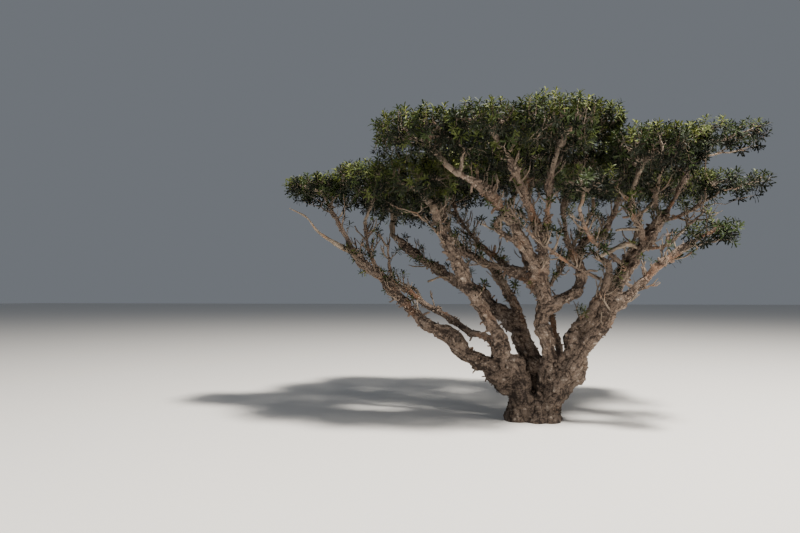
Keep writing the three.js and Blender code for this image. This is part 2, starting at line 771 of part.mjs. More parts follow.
// The trunk with the forks of its stems, then each limb cut clear of all the wood before it.
function growWood(tree) {
  const limbs = {};
  Object.entries(LIMBS).forEach(([name, sizes], i) => {
    limbs[name] = new Limb(name, sizes, limbs[sizes.from], i);
  });
  const stems = Object.values(limbs).filter((limb) => limb.isStem);
  const forked = (extra) => {
    const forks = stems.map((stem) => stem.solid(extra, TRUNK.forkRings));
    return wasm.Manifold.union([base(extra), ...forks]);
  };
  tree.add(meshOf("trunk", forked(0), BARK));
  let wood = forked(SKIN);
  for (const limb of Object.values(limbs)) {
    const solid = largest(limb.solid(0).subtract(wood));
    tree.add(meshOf(limb.name, solid, DEAD_LIMBS.includes(limb.name) ? DEAD_BARK : BARK));
    wood = wood.add(limb.solid(SKIN));
  }
  return { limbs, wood };
}

// The foliage masses, each in its own fenced space.
function growFoliage(tree, { limbs, wood }) {
  const spaces = Object.values(MASSES).map((sizes) => new Space(sizes));
  for (const space of spaces) {
    spaces.filter((other) => other !== space).forEach((other) => space.fenceFrom(other));
  }
  Object.entries(MASSES).forEach(([name, sizes], i) => {
    const bough = limbs[sizes.bough];
    const solid = massSolid(sizes, spaces[i], bough, Object.values(limbs), wood, FIRST_MASS_SEED + i);
    tree.add(meshOf(name, solid, LEAF));
  });
}

const tree = new THREE.Group();
tree.name = "frankincense_tree";
growFoliage(tree, growWood(tree));

export default tree;
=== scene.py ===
"""The looks of the frankincense tree: its bark, its twigs and its leaves, grown on the frame's own limbs.

The limbs and the foliage spaces follow the same rule and the same named sizes as the frame's solids, in
millimetres, and every mesh is made in metres. +Z is up, +X is the right-hand side from the front, and +Y
runs from the front to the back.
"""

import itertools
import json
import logging
import math
from dataclasses import dataclass, field
from enum import Enum

import bpy
import numpy as np
from bpy.types import Material, Mesh, Node, NodeSocket, NodeTree, Object
from mathutils import Matrix, Vector

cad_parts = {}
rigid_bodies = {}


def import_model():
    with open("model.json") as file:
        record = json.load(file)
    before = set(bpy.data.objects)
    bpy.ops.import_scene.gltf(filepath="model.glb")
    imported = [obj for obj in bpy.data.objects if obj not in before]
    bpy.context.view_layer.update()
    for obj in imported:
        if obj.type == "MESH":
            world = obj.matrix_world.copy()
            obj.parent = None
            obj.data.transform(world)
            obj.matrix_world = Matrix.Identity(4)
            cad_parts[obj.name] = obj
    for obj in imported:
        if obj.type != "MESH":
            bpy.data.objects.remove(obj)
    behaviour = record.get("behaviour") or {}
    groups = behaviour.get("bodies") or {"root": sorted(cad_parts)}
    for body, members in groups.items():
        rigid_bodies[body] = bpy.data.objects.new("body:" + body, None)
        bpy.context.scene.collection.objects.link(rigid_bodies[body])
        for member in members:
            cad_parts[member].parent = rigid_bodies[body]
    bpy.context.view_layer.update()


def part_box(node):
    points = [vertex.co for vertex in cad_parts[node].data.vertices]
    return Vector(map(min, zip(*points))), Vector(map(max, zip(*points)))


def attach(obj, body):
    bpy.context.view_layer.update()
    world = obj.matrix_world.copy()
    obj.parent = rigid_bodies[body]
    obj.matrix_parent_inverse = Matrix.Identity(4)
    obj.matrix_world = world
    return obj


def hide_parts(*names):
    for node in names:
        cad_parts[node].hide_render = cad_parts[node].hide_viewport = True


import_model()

Array = np.ndarray
Pair = tuple[float, float]
Triple = tuple[float, float, float]
Numbers = tuple[float, ...]
Names = tuple[str, ...]

LOG = logging.getLogger("frankincense_tree")
MM = 0.001
UP = np.array([0.0, 0.0, 1.0])
SIDEWAYS = np.array([1.0, 0.0, 0.0])
NEARLY_ALONG = 0.9
GOLDEN_ANGLE = math.pi * (3 - math.sqrt(5))


class Dice:
    """Seeded numbers from 0 to 1, the same as the frame's."""

    def __init__(self, seed: int) -> None:
        """Starts the row of numbers that belongs to a seed."""
        self.state = ((seed + 1) * 2654435761) & 0xFFFFFFFF

    def roll(self) -> float:
        """Gives the next number from 0 to 1."""
        self.state = (self.state * 1664525 + 1013904223) & 0xFFFFFFFF
        return self.state / 2**32

    def between(self, low: float, high: float) -> float:
        """Gives the next number between low and high."""
        return low + (high - low) * self.roll()


def along(values: Numbers, share: float) -> float:
    """Reads a list that is spread evenly from 0 to 1.

    Args:
        values: the list.
        share: where to read it, from 0 to 1.

    Returns:
        The value there, on the straight line between its two neighbours.
    """
    place = share * (len(values) - 1)
    before = min(math.floor(place), len(values) - 2)
    part = place - before
    return values[before] * (1 - part) + values[before + 1] * part


def eased(knots: Array, shares: Array) -> Array:
    """Reads rows of values that are spread evenly from 0 to 1, with soft turns at each.

    Args:
        knots: one row for each knot.
        shares: where to read them.

    Returns:
        One row for each share.
    """
    place = np.clip(shares, 0, 1) * (len(knots) - 1)
    before = np.minimum(place.astype(int), len(knots) - 2)
    part = place - before
    soft = part * part * (3 - 2 * part)
    if knots.ndim > 1:
        soft = soft[:, None]
    return knots[before] * (1 - soft) + knots[before + 1] * soft


def rounded(knots: Array, shares: Array) -> Array:
    """Runs a smooth line through points that are spread evenly from 0 to 1.

    Args:
        knots: the points, one row each.
        shares: where to read the line.

    Returns:
        One point for each share.
    """
    ends = np.vstack([2 * knots[0] - knots[1], knots, 2 * knots[-1] - knots[-2]])
    place = np.clip(shares, 0, 1) * (len(knots) - 1)
    before = np.minimum(place.astype(int), len(knots) - 2)
    t = (place - before)[:, None]
    a, b, c, d = (ends[before + i] for i in range(4))
    return 0.5 * (2 * b + (c - a) * t + (2 * a - 5 * b + 4 * c - d) * t**2 + (3 * b - a - 3 * c + d) * t**3)


def unit(vector: Array) -> Array:
    """Gives a direction its length of 1."""
    return vector / max(float(np.linalg.norm(vector)), 1e-9)


def lattice_noise(points: Array, seed: int) -> Array:
    """Smooth seeded noise in space.

    Args:
        points: places, one row each, in units of the noise's grain.
        seed: which noise.

    Returns:
        One value from -1 to 1 for each place.
    """
    cell = np.floor(points).astype(np.int64)
    part = points - cell
    soft = part * part * (3 - 2 * part)
    total = np.zeros(len(points))
    for corner in itertools.product((0, 1), repeat=3):
        x, y, z = (cell + corner).T
        mixed = ((x * 73856093) ^ (y * 19349663) ^ (z * 83492791) ^ (seed * 2654435761)) & 0xFFFFFFFF
        mixed = ((mixed ^ (mixed >> 13)) * 1274126177) & 0xFFFFFFFF
        value = ((mixed ^ (mixed >> 16)) & 0xFFFF) / 32767.5 - 1
        total += value * np.prod(np.where(corner, soft, 1 - soft), axis=1)
    return total


def step_between(values: Array, low: float, high: float) -> Array:
    """Gives 0 below low, 1 above high and a smooth rise between them."""
    share = np.clip((values - low) / (high - low), 0, 1)
    return share * share * (3 - 2 * share)


@dataclass
class Shell:
    """Corners and faces that are gathered before they become one mesh."""

    corners: list[Array] = field(default_factory=list)
    faces: list[Array] = field(default_factory=list)
    count: int = 0

    def add(self, corners: Array, faces: Array) -> None:
        """Adds a piece.

        Args:
            corners: its corners, one row each.
            faces: its triangles, counted from its own first corner.
        """
        self.corners.append(corners)
        self.faces.append(faces + self.count)
        self.count += len(corners)

    def mesh(self, name: str) -> Mesh:
        """Makes one mesh of all that was added, in the units that it was given in."""
        return mesh_of(name, np.vstack(self.corners), np.vstack(self.faces))


def mesh_of(name: str, corners: Array, faces: Array) -> Mesh:
    """Makes a mesh from arrays.

    Args:
        name: the mesh's name.
        corners: one row of three numbers for each corner.
        faces: one row of corner numbers for each face, all with the same number of corners.

    Returns:
        The mesh.
    """
    mesh = bpy.data.meshes.new(name)
    sides = faces.shape[1]
    mesh.vertices.add(len(corners))
    mesh.vertices.foreach_set("co", np.ascontiguousarray(corners, dtype=np.float32).ravel())
    mesh.loops.add(faces.size)
    mesh.loops.foreach_set("vertex_index", np.ascontiguousarray(faces, dtype=np.int32).ravel())
    mesh.polygons.add(len(faces))
    mesh.polygons.foreach_set("loop_start", np.arange(0, faces.size, sides, dtype=np.int32))
    mesh.update(calc_edges=True)
    mesh.validate()
    return mesh


def read(items: bpy.types.bpy_prop_collection, name: str, width: int, kind: type) -> Array:
    """Reads one property of all corners, edges, faces or loops of a mesh.

    Args:
        items: the corners, edges, faces or loops.
        name: the property.
        width: how many numbers it holds.
        kind: the kind of number.

    Returns:
        One row for each item.
    """
    flat = np.empty(len(items) * width, dtype=kind)
    items.foreach_get(name, flat)
    return flat.reshape(-1, width)


def corners_of(mesh: Mesh) -> Array:
    """Reads a mesh's corners, one row each."""
    return read(mesh.vertices, "co", 3, np.float32).astype(np.float64)


def set_values(mesh: Mesh, name: str, values: Array) -> None:
    """Stores one number for each corner of a mesh under a name, in place of what was there."""
    drop_values(mesh, name)
    attribute = mesh.attributes.new(name, "FLOAT", "POINT")
    attribute.data.foreach_set("value", values.astype(np.float32))


def drop_values(mesh: Mesh, *names: str) -> None:
    """Takes what is stored under some names off a mesh."""
    for name in set(names) & set(mesh.attributes.keys()):
        mesh.attributes.remove(mesh.attributes[name])


def show(mesh: Mesh, nodes: Names = (), smooth: bool = False) -> Object:
    """Puts a finished mesh in the scene as a piece of the tree.

    Args:
        mesh: the mesh, named as the piece is.
        nodes: the frame's nodes that it stands for.
        smooth: whether its faces are shaded smoothly.

    Returns:
        The piece.
    """
    piece = bpy.data.objects.new(mesh.name, mesh)
    bpy.context.scene.collection.objects.link(piece)
    mesh.polygons.foreach_set("use_smooth", np.full(len(mesh.polygons), smooth))
    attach(piece, "root")
    if nodes:
        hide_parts(*nodes)
    mesh.calc_loop_triangles()
    LOG.info("%s: %d triangles", piece.name, len(mesh.loop_triangles))
    return piece


def evaluated_mesh(source: Object, name: str) -> Mesh:
    """Applies an object's modifiers.

    Args:
        source: the object.
        name: the new mesh's name.

    Returns:
        The mesh that the modifiers make.
    """
    graph = bpy.context.evaluated_depsgraph_get()
    mesh = bpy.data.meshes.new_from_object(source.evaluated_get(graph))
    mesh.name = name
    drop_empty_slots(mesh)
    return mesh


def drop_empty_slots(mesh: Mesh) -> None:
    """Takes out the material slots that hold nothing.

    Args:
        mesh: a mesh whose faces all use a slot that holds a material.
    """
    materials = list(mesh.materials)
    if None not in materials:
        return
    numbers = read(mesh.polygons, "material_index", 1, np.int32).ravel()
    filled = np.array([material is not None for material in materials])
    mesh.materials.clear()
    for material in materials:
        if material is not None:
            mesh.materials.append(material)
    mesh.polygons.foreach_set("material_index", (np.cumsum(filled) - 1)[numbers].astype(np.int32))


def bands(rings: int, sides: int) -> Array:
    """Joins rings of corners, one after another.

    Args:
        rings: how many rings there are.
        sides: how many corners each has.

    Returns:
        The triangles between them.
    """
    k = np.arange(sides)
    after = (k + 1) % sides
    faces = []
    for first in sides * np.arange(rings - 1):
        a, b = first + k, first + after
        faces += [np.stack([a, b, b + sides], 1), np.stack([a, b + sides, a + sides], 1)]
    return np.vstack(faces)


def tube(path: Array, halves: Array, sides: int, turn: float = 0.0) -> tuple[Array, Array]:
    """A closed tube along a line.

    Args:
        path: the points of its middle line.
        halves: its half-thickness at each point.
        sides: how many sides it has.
        turn: how far its first corner is turned round the line, in radians.

    Returns:
        Its corners and its triangles.
    """
    heading = np.gradient(path, axis=0)
    heading /= np.maximum(np.linalg.norm(heading, axis=1), 1e-9)[:, None]
    side = UP if abs(heading[0][2]) < NEARLY_ALONG else SIDEWAYS
    angles = turn + 2 * math.pi * np.arange(sides) / sides
    rings = []
    for place, line, half in zip(path, heading, halves):
        side = unit(side - line * side.dot(line))
        across = np.cross(line, side)
        rings.append(place + half * (np.outer(np.cos(angles), side) + np.outer(np.sin(angles), across)))
    corners = np.vstack(rings)
    first, second, third = np.zeros(sides - 2, dtype=int), np.arange(1, sides - 1), np.arange(2, sides)
    foot = np.stack([first, third, second], 1)
    tip = np.stack([first, second, third], 1) + (len(path) - 1) * sides
    return corners, np.vstack([bands(len(path), sides), foot, tip])


# The limbs, as the frame has them


@dataclass(frozen=True)
class LimbPlan:
    """The sizes of one limb, in millimetres and degrees.

    A stem starts at its foot on the trunk. A bough starts at a share of the length of the limb that it
    grows from. Headings and climbs are read at even spaces along it; heading 0 is +X and 90 is +Y.
    """

    name: str
    grows_from: str
    starts: Triple | float
    heading: Numbers
    climb: Numbers
    long: float
    thick: Pair

    @property
    def is_stem(self) -> bool:
        """Whether it grows from the trunk."""
        return self.grows_from == "trunk"


LIMB_PLANS = (
    LimbPlan(
        "west_stem", "trunk", (-160, -55, 375),
        (189, 190, 189, 188), (35, 36, 42, 46), 2975, (270, 115),
    ),
    LimbPlan(
        "left_stem", "trunk", (-170, -110, 330),
        (211, 208, 211, 219), (70, 61, 58, 69), 2680, (310, 110),
    ),
    LimbPlan(
        "back_left_stem", "trunk", (50, 130, 330),
        (138, 156, 175, 185), (81, 47, 27, 44), 3170, (310, 95),
    ),
    LimbPlan(
        "centre_stem", "trunk", (130, -75, 380),
        (-20, -135, -135, -146), (87, 81, 50, 22), 3305, (245, 90),
    ),
    LimbPlan(
        "right_stem", "trunk", (215, 45, 370),
        (-6, 15, 18, 10, -18), (50, 66, 53, 56, 53), 2830, (370, 130),
    ),
    LimbPlan(
        "outer_stem", "trunk", (255, -120, 320),
        (-33, -12, -29, -18, -2), (58, 55, 56, 38, 41), 2550, (245, 80),
    ),
    LimbPlan(
        "thin_stem", "trunk", (310, 210, 250),
        (20, 195, 56, 50, 48), (62, 82, 41, 47, 54), 3270, (110, 60),
    ),
    LimbPlan("west_upper", "left_stem", 0.28, (142, 178, 188, 231), (17, 31, 35, 97), 2740, (120, 55)),
    LimbPlan("west_high", "west_stem", 0.98, (171, 166), (64, 57), 760, (80, 50)),
    LimbPlan("west_dead", "west_stem", 0.98, (202, 198, 194, 182), (30, 26, 56, 13), 1080, (75, 18)),
    LimbPlan("rear_bough", "back_left_stem", 0.16, (138, 144, 179), (72, 62, 20), 1850, (190, 85)),
    LimbPlan("left_inner", "rear_bough", 0.98, (193, 226, 281), (38, 64, 70), 860, (80, 60)),
    LimbPlan(
        "back_left_bough", "centre_stem", 0.46,
        (140, 133, 128, 112), (11, 30, 34, 49), 2410, (105, 60),
    ),
    LimbPlan("upper_bough", "centre_stem", 0.37, (-73, -123, -118), (84, 53, 42), 2030, (165, 80)),
    LimbPlan("front_top_bough", "upper_bough", 0.33, (-48, -88, -86), (71, 51, 43), 1050, (110, 70)),
    LimbPlan("heart_bough", "upper_bough", 0.25, (131, 111, 114), (66, 64, 72), 1250, (110, 65)),
    LimbPlan(
        "east_bough", "centre_stem", 0.33,
        (7, -8, 162, 4, 41, 57), (8, 41, 92, 21, 51, 69), 2100, (190, 65),
    ),
    LimbPlan("top_bough", "east_bough", 0.4, (194, 144, 20, -35), (57, 78, 68, 58), 1430, (90, 60)),
    LimbPlan("back_bough", "centre_stem", 0.44, (109, 106, 101), (26, 34, 54), 2070, (120, 65)),
    LimbPlan("back_east_bough", "right_stem", 0.54, (72, 58, 60), (23, 42, 60), 1850, (120, 60)),
    LimbPlan("front_bough", "right_stem", 0.68, (241, 235, 253), (24, 17, 45), 1550, (75, 45)),
    LimbPlan("shoulder_bough", "right_stem", 0.82, (251, 239, 274), (41, 30, 34), 930, (90, 60)),
    LimbPlan("right_bough", "right_stem", 0.97, (209, 283), (50, 60), 450, (80, 60)),
    LimbPlan("right_top_bough", "right_stem", 0.98, (28, 29, 11), (51, 61, 44), 1090, (85, 50)),
    LimbPlan("right_mid_bough", "right_stem", 0.95, (-50, -46), (4, 28), 690, (65, 42)),
    LimbPlan("right_low_bough", "outer_stem", 0.97, (-15, -12), (35, 20), 380, (55, 34)),
    LimbPlan("upright_spur", "west_upper", 0.65, (253, 287), (58, 71), 580, (50, 34)),
    LimbPlan(
        "hooked_spur", "centre_stem", 0.56,
        (202, 218, 180, 255, 388), (4, 48, 32, 68, -22), 840, (120, 62),
    ),
    LimbPlan("cut_stub", "right_stem", 0.79, (230, 226, 229), (27, -20, -18), 890, (60, 50)),
    LimbPlan("pale_stub", "shoulder_bough", 0.3, (200, 215), (4, -12), 380, (46, 30)),
    LimbPlan("dead_stub", "back_left_stem", 0.67, (207, 235), (5, -20), 440, (48, 38)),
    LimbPlan("dead_spur", "west_upper", 0.48, (120, 168, 175), (69, 20, 34), 560, (45, 28)),
    LimbPlan("cross_bough", "centre_stem", 0.35, (141, 160, 186, 204), (63, 20, 18, 85), 1910, (120, 60)),
    LimbPlan(
        "slender_bough", "right_stem", 0.6,
        (-134, -137, -140, -138), (11, 21, 30, 50), 2130, (62, 32),
    ),
    LimbPlan("side_bough", "right_stem", 0.8, (-45, -35, -25), (-18, 42, 37), 1010, (60, 34)),
    LimbPlan(
        "knee_stem", "trunk", (230, -130, 310),
        (-25, 5, 18, 22, -79, -225), (69, 65, 77, 38, 80, 18), 2230, (290, 40),
    ),
)
DEAD_LIMBS = ("west_dead", "cut_stub", "pale_stub", "dead_stub", "dead_spur")


@dataclass(frozen=True)
class RootShape:
    """How a stem runs on from its foot down the trunk's side to just under the ground, in millimetres.

    The halves are its half-thickness at each of the shares of the way: the first is a share of the stem's
    own there, and the others are shares of the half-thickness of its foot.
    """

    buried: float = 50.0
    sunk_in: float = 0.85
    leans_in: float = 0.94
    ankle: float = 140.0
    first_ring: int = 6
    rings: int = 18
    shares: Numbers = (0, 0.3, 0.6, 1)
    halves: Numbers = (0.98, 1.0, 0.84, 1.0)


# The rule for every limb, as in the frame: the steps of its line, and the millimetres for each ring.
# A kink is over the half-thickness there, and a lump over the thickness. The collar makes the foot so many
# times thicker, along a length that is over the foot's thickness. The taper is a power.
PATH_STEPS = 24
STRETCH = 300
FEWEST_RINGS = 3
KINK = 0.4
LUMP = 0.13
COLLAR = 1.18
COLLAR_LENGTH = 1.6
TAPER = 0.8


@dataclass
class Limb:
    """One limb: the frame's middle line and thickness, and the finer ones that its bark is drawn on."""

    plan: LimbPlan
    parent: "Limb | None"
    seed: int
    ring_spacing: float = 26.0
    wobble: float = 0.26
    wobble_spacing: float = 115.0
    swelling: float = 0.2
    fewest_places: int = 6
    fewest_bends: int = 4
    last_stretch: int = 3
    bend_seed: int = 500
    root_shape: RootShape = RootShape()
    line: Array = field(init=False)
    rings: int = field(init=False)
    kinks: Array = field(init=False)
    lumps: Array = field(init=False)
    path: Array = field(init=False)
    halves: Array = field(init=False)

    def __post_init__(self) -> None:
        """Works out its line, as the frame does, and then its finer line."""
        plan = self.plan
        dice = Dice(self.seed)
        foot = np.array(plan.starts, dtype=float) if plan.is_stem else self.parent.place_at(plan.starts)
        line = [foot]
        for i in range(PATH_STEPS):
            share = (i + 0.5) / PATH_STEPS
            heading = math.radians(along(plan.heading, share))
            climb = math.radians(along(plan.climb, share))
            flat = math.cos(climb)
            step = np.array([flat * math.cos(heading), flat * math.sin(heading), math.sin(climb)])
            line.append(line[i] + step * plan.long / PATH_STEPS)
        self.line = np.array(line)
        self.rings = max(FEWEST_RINGS, math.floor(plan.long / STRETCH + 0.5))
        kinks, lumps = [], []
        for i in range(self.rings + 1):
            held = 0 if i in (0, self.rings) else 1
            reach = held * KINK * self.half_at(i / self.rings)
            kinks.append([dice.between(-reach, reach) for _ in range(3)])
            lumps.append(1 + held * dice.between(-LUMP, LUMP))
        self.kinks = np.array(kinks)
        self.lumps = np.array(lumps)
        self.draw_finer()

    @property
    def name(self) -> str:
        """Its name in the frame."""
        return self.plan.name

    def half_at(self, share: float) -> float:
        """Its half-thickness without lumps.

        Args:
            share: the place along it, from 0 to 1.

        Returns:
            Half its thickness there.
        """
        foot, tip = self.plan.thick
        half = (foot + (tip - foot) * share**TAPER) / 2
        collar = max(0.0, 1 - share * self.plan.long / (COLLAR_LENGTH * foot))
        return half * (1 + (COLLAR - 1) * collar)

    def place_at(self, share: float) -> Array:
        """A place on the frame's middle line.

        Args:
            share: the place along it, from 0 to 1.

        Returns:
            The place.
        """
        step = min(math.floor(share * PATH_STEPS), PATH_STEPS - 1)
        part = share * PATH_STEPS - step
        place = self.line[step] * (1 - part) + self.line[step + 1] * part
        before = min(math.floor(share * self.rings), self.rings - 1)
        part = share * self.rings - before
        return place + self.kinks[before] * (1 - part) + self.kinks[before + 1] * part

    def draw_finer(self) -> None:
        """Draws the finer line through the frame's rings, with its own small bends and swellings."""
        rng = np.random.default_rng(self.bend_seed + self.seed)
        shares = np.linspace(0, 1, max(self.fewest_places, round(self.plan.long / self.ring_spacing)))
        places = np.array([self.place_at(i / self.rings) for i in range(self.rings + 1)])
        halves = np.array([self.half_at(share) for share in shares]) * eased(self.lumps, shares)
        if self.plan.is_stem:
            collar = COLLAR_LENGTH * self.plan.thick[0]
            halves *= np.interp(shares * self.plan.long, [0, collar], [1 / COLLAR, 1])
        knots = max(self.fewest_bends, round(self.plan.long / self.wobble_spacing))
        bends = rng.uniform(-1, 1, (knots + 1, 3))
        bends[[0, -1]] = 0
        swells = 1 + self.swelling * rng.uniform(-1, 1, knots + 1)
        swells[[0, -1]] = 1
        self.path = rounded(places, shares) + eased(bends, shares) * self.wobble * halves[:, None]
        self.halves = halves * eased(swells, shares)

    def root(self, ground_reach: float, flatness: float, shift: float) -> tuple[Array, Array]:
        """Draws the way that a stem takes from its foot down the trunk's side to just under the ground.

        Args:
            ground_reach: the trunk's half-width at the ground.
            flatness: the trunk's depth over its width.
            shift: how far the trunk's foot stands to the right.

        Returns:
            The middle line and the half-thickness at each of its points.
        """
        shape = self.root_shape
        foot = np.array(self.plan.starts, dtype=float)
        half = self.plan.thick[0] / 2
        out = unit(np.array([foot[0], foot[1], 0.0])) * (ground_reach - half * shape.sunk_in)
        ground = np.array([out[0] + shift, out[1] * flatness, -shape.buried])
        above = ground * (shape.leans_in, shape.leans_in, 0) + UP * shape.ankle
        middle = (foot + above) / 2
        shares = np.linspace(0, 1, shape.rings)
        path = rounded(np.array([self.path[shape.first_ring], foot, middle, above, ground]), shares)
        first = self.halves[shape.first_ring] * shape.halves[0]
        halves = np.interp(shares, shape.shares, [first, *(half * share for share in shape.halves[1:])])
        return path, halves

    @property
    def tip(self) -> Array:
        """The end of its finer line."""
        return self.path[-1]

    @property
    def heading(self) -> Array:
        """The direction of its last stretch."""
        return unit(self.path[-1] - self.path[-1 - self.last_stretch])


# Materials and node trees


def plain_material(name: str, roughness: float, shine: float) -> tuple[Material, Node]:
    """Makes a material with one shader.

    Args:
        name: its name.
        roughness: how dull it is, from 0 to 1.
        shine: how strongly it reflects.

    Returns:
        The material and its shader.
    """
    material = bpy.data.materials.new(name)
    material.use_nodes = True
    shader = material.node_tree.nodes["Principled BSDF"]
    shader.inputs["Roughness"].default_value = roughness
    shader.inputs["Specular IOR Level"].default_value = shine
    return material, shader


def new_tree(name: str, kind: str, inputs: dict[str, str], outputs: dict[str, str]) -> NodeTree:
    """Makes a node tree.

    Args:
        name: its name.
        kind: Blender's name for the kind of tree.
        inputs: the kind of each input, by its label.
        outputs: the kind of each output, by its label.

    Returns:
        The tree.
    """
    tree = bpy.data.node_groups.new(name, kind)
    for way, sockets in (("INPUT", inputs), ("OUTPUT", outputs)):
        for label, socket in sockets.items():
            tree.interface.new_socket(label, in_out=way, socket_type="NodeSocket" + socket)
    return tree


@dataclass(frozen=True)
class BarkFinish:
    """The colours and grain of one kind of bark or bare wood."""

    name: str
    # Crevice and ridge: partly the bark's own colours, partly painted shade and painted highlight.
    crevice: Triple
    body: Triple
    ridge: Triple
    flush: Triple
    flush_share: float
    grain: float
    bump: float
    roughness: float
    shine: float = 0.25
    bump_height: float = 0.014

    def material(self) -> Material:
        """Makes the material.

        Returns:
            A material whose colour follows the relief and the youth stored on the mesh. The crevices are
            darker, partly the bark's own colour and partly painted shade, and the ridges paler, partly
            a painted highlight.
        """
        material, shader = plain_material(self.name, self.roughness, self.shine)
        wires = Wiring(material.node_tree)
        colours = {"Crevice": self.crevice, "Body": self.body, "Ridge": self.ridge, "Flush": self.flush}
        inputs = {label: (*colour, 1) for label, colour in colours.items()}
        inputs |= {"Scale": self.grain, "Flush Share": self.flush_share}
        for label in ("Relief", "Youth"):
            stored = wires.node("ShaderNodeAttribute", attribute_name=label.lower())
            inputs[label] = stored.outputs["Fac"]
        grain = wires.node("ShaderNodeGroup", inputs, node_tree=BarkGrain().group())
        heights = {"Strength": self.bump, "Distance": self.bump_height, "Height": grain.outputs["Height"]}
        bump = wires.node("ShaderNodeBump", heights)
        wires.join(bump.outputs["Normal"], shader.inputs["Normal"])
        wires.join(grain.outputs["Color"], shader.inputs["Base Color"])
        return material


# The numbers of the sockets in nodes that hold one set of them for each kind of value
MIX_COLOURS = (6, 7)
MIXED_COLOUR = 2
FLOAT_RANGE = (2, 3)
FLOAT_PICK = 1
INT_RANGE = (4, 5)
INT_PICK = 2
COMPARED_INTS = (2, 3)


class Wiring:
    """Adds nodes to a tree and joins them."""

    def __init__(self, tree: NodeTree) -> None:
        """Takes a shader or geometry node tree."""
        self.tree = tree

    def node(self, kind: str, inputs: dict[str | int, object] | None = None, **settings: object) -> Node:
        """Adds a node.

        Args:
            kind: Blender's name for the kind of node.
            inputs: an output to join or a value to set, by the input's name or number.
            settings: the node's own settings.

        Returns:
            The node.
        """
        made = self.tree.nodes.new(kind)
        for name, value in settings.items():
            setattr(made, name, value)
        for key, value in (inputs or {}).items():
            if isinstance(value, NodeSocket):
                self.join(value, made.inputs[key])
            else:
                made.inputs[key].default_value = value
        return made

    def join(self, source: NodeSocket, target: NodeSocket) -> None:
        """Joins an output to an input."""
        self.tree.links.new(source, target)

    def sum(self, operation: str, first: object, second: object, clamp: bool = False) -> NodeSocket:
        """Adds a sum of two outputs or numbers, and may keep its result from 0 to 1."""
        made = self.node("ShaderNodeMath", {0: first, 1: second}, operation=operation, use_clamp=clamp)
        return made.outputs[0]

    def rise(self, value: NodeSocket, low: float, high: float) -> NodeSocket:
        """Adds a soft step, which rises from 0 to 1 where the value goes from low to high."""
        inputs = {"Value": value, "From Min": low, "From Max": high}
        return self.node("ShaderNodeMapRange", inputs, interpolation_type="SMOOTHSTEP").outputs["Result"]

    def blend(self, share: NodeSocket, first: NodeSocket, second: NodeSocket) -> NodeSocket:
        """Adds a mix of two colours with a share of the second."""
        inputs = {0: share, **dict(zip(MIX_COLOURS, (first, second)))}
        return self.node("ShaderNodeMix", inputs, data_type="RGBA").outputs[MIXED_COLOUR]

    def placed(
        self, samples: NodeSocket, points: NodeSocket, pick: NodeSocket, turn: NodeSocket, size: NodeSocket
    ) -> NodeSocket:
        """Adds the nodes that put one mesh of a collection on each point, as real geometry.

        Args:
            samples: the collection's output.
            points: the points' output.
            pick: which mesh each point gets.
            turn: how it is turned.
            size: how large it is.

        Returns:
            The geometry's output.
        """
        picked = {"Collection": samples, "Separate Children": True, "Reset Children": True}
        meshes = self.node("GeometryNodeCollectionInfo", picked)
        inputs = {"Points": points, "Instance": meshes.outputs[0], "Pick Instance": True}
        inputs |= {"Instance Index": pick, "Rotation": turn, "Scale": size}
        place = self.node("GeometryNodeInstanceOnPoints", inputs)
        real = self.node("GeometryNodeRealizeInstances", {"Geometry": place.outputs["Instances"]})
        return real.outputs["Geometry"]

    def finished(
        self, geometry: NodeSocket, material: NodeSocket, chosen: NodeSocket | None = None
    ) -> NodeSocket:
        """Adds a node that gives geometry its material.

        Args:
            geometry: the geometry's output.
            material: the material's output.
            chosen: which faces get it, or None for all.

        Returns:
            The finished geometry's output.
        """
        inputs = {"Geometry": geometry, "Material": material}
        if chosen is not None:
            inputs["Selection"] = chosen
        return self.node("GeometryNodeSetMaterial", inputs).outputs["Geometry"]


@dataclass(frozen=True)
class GrainNoise:
    """One noise in the bark: its grain over the group's scale, its detail and its roughness."""

    times: float
    detail: float
    roughness: float = 0.6


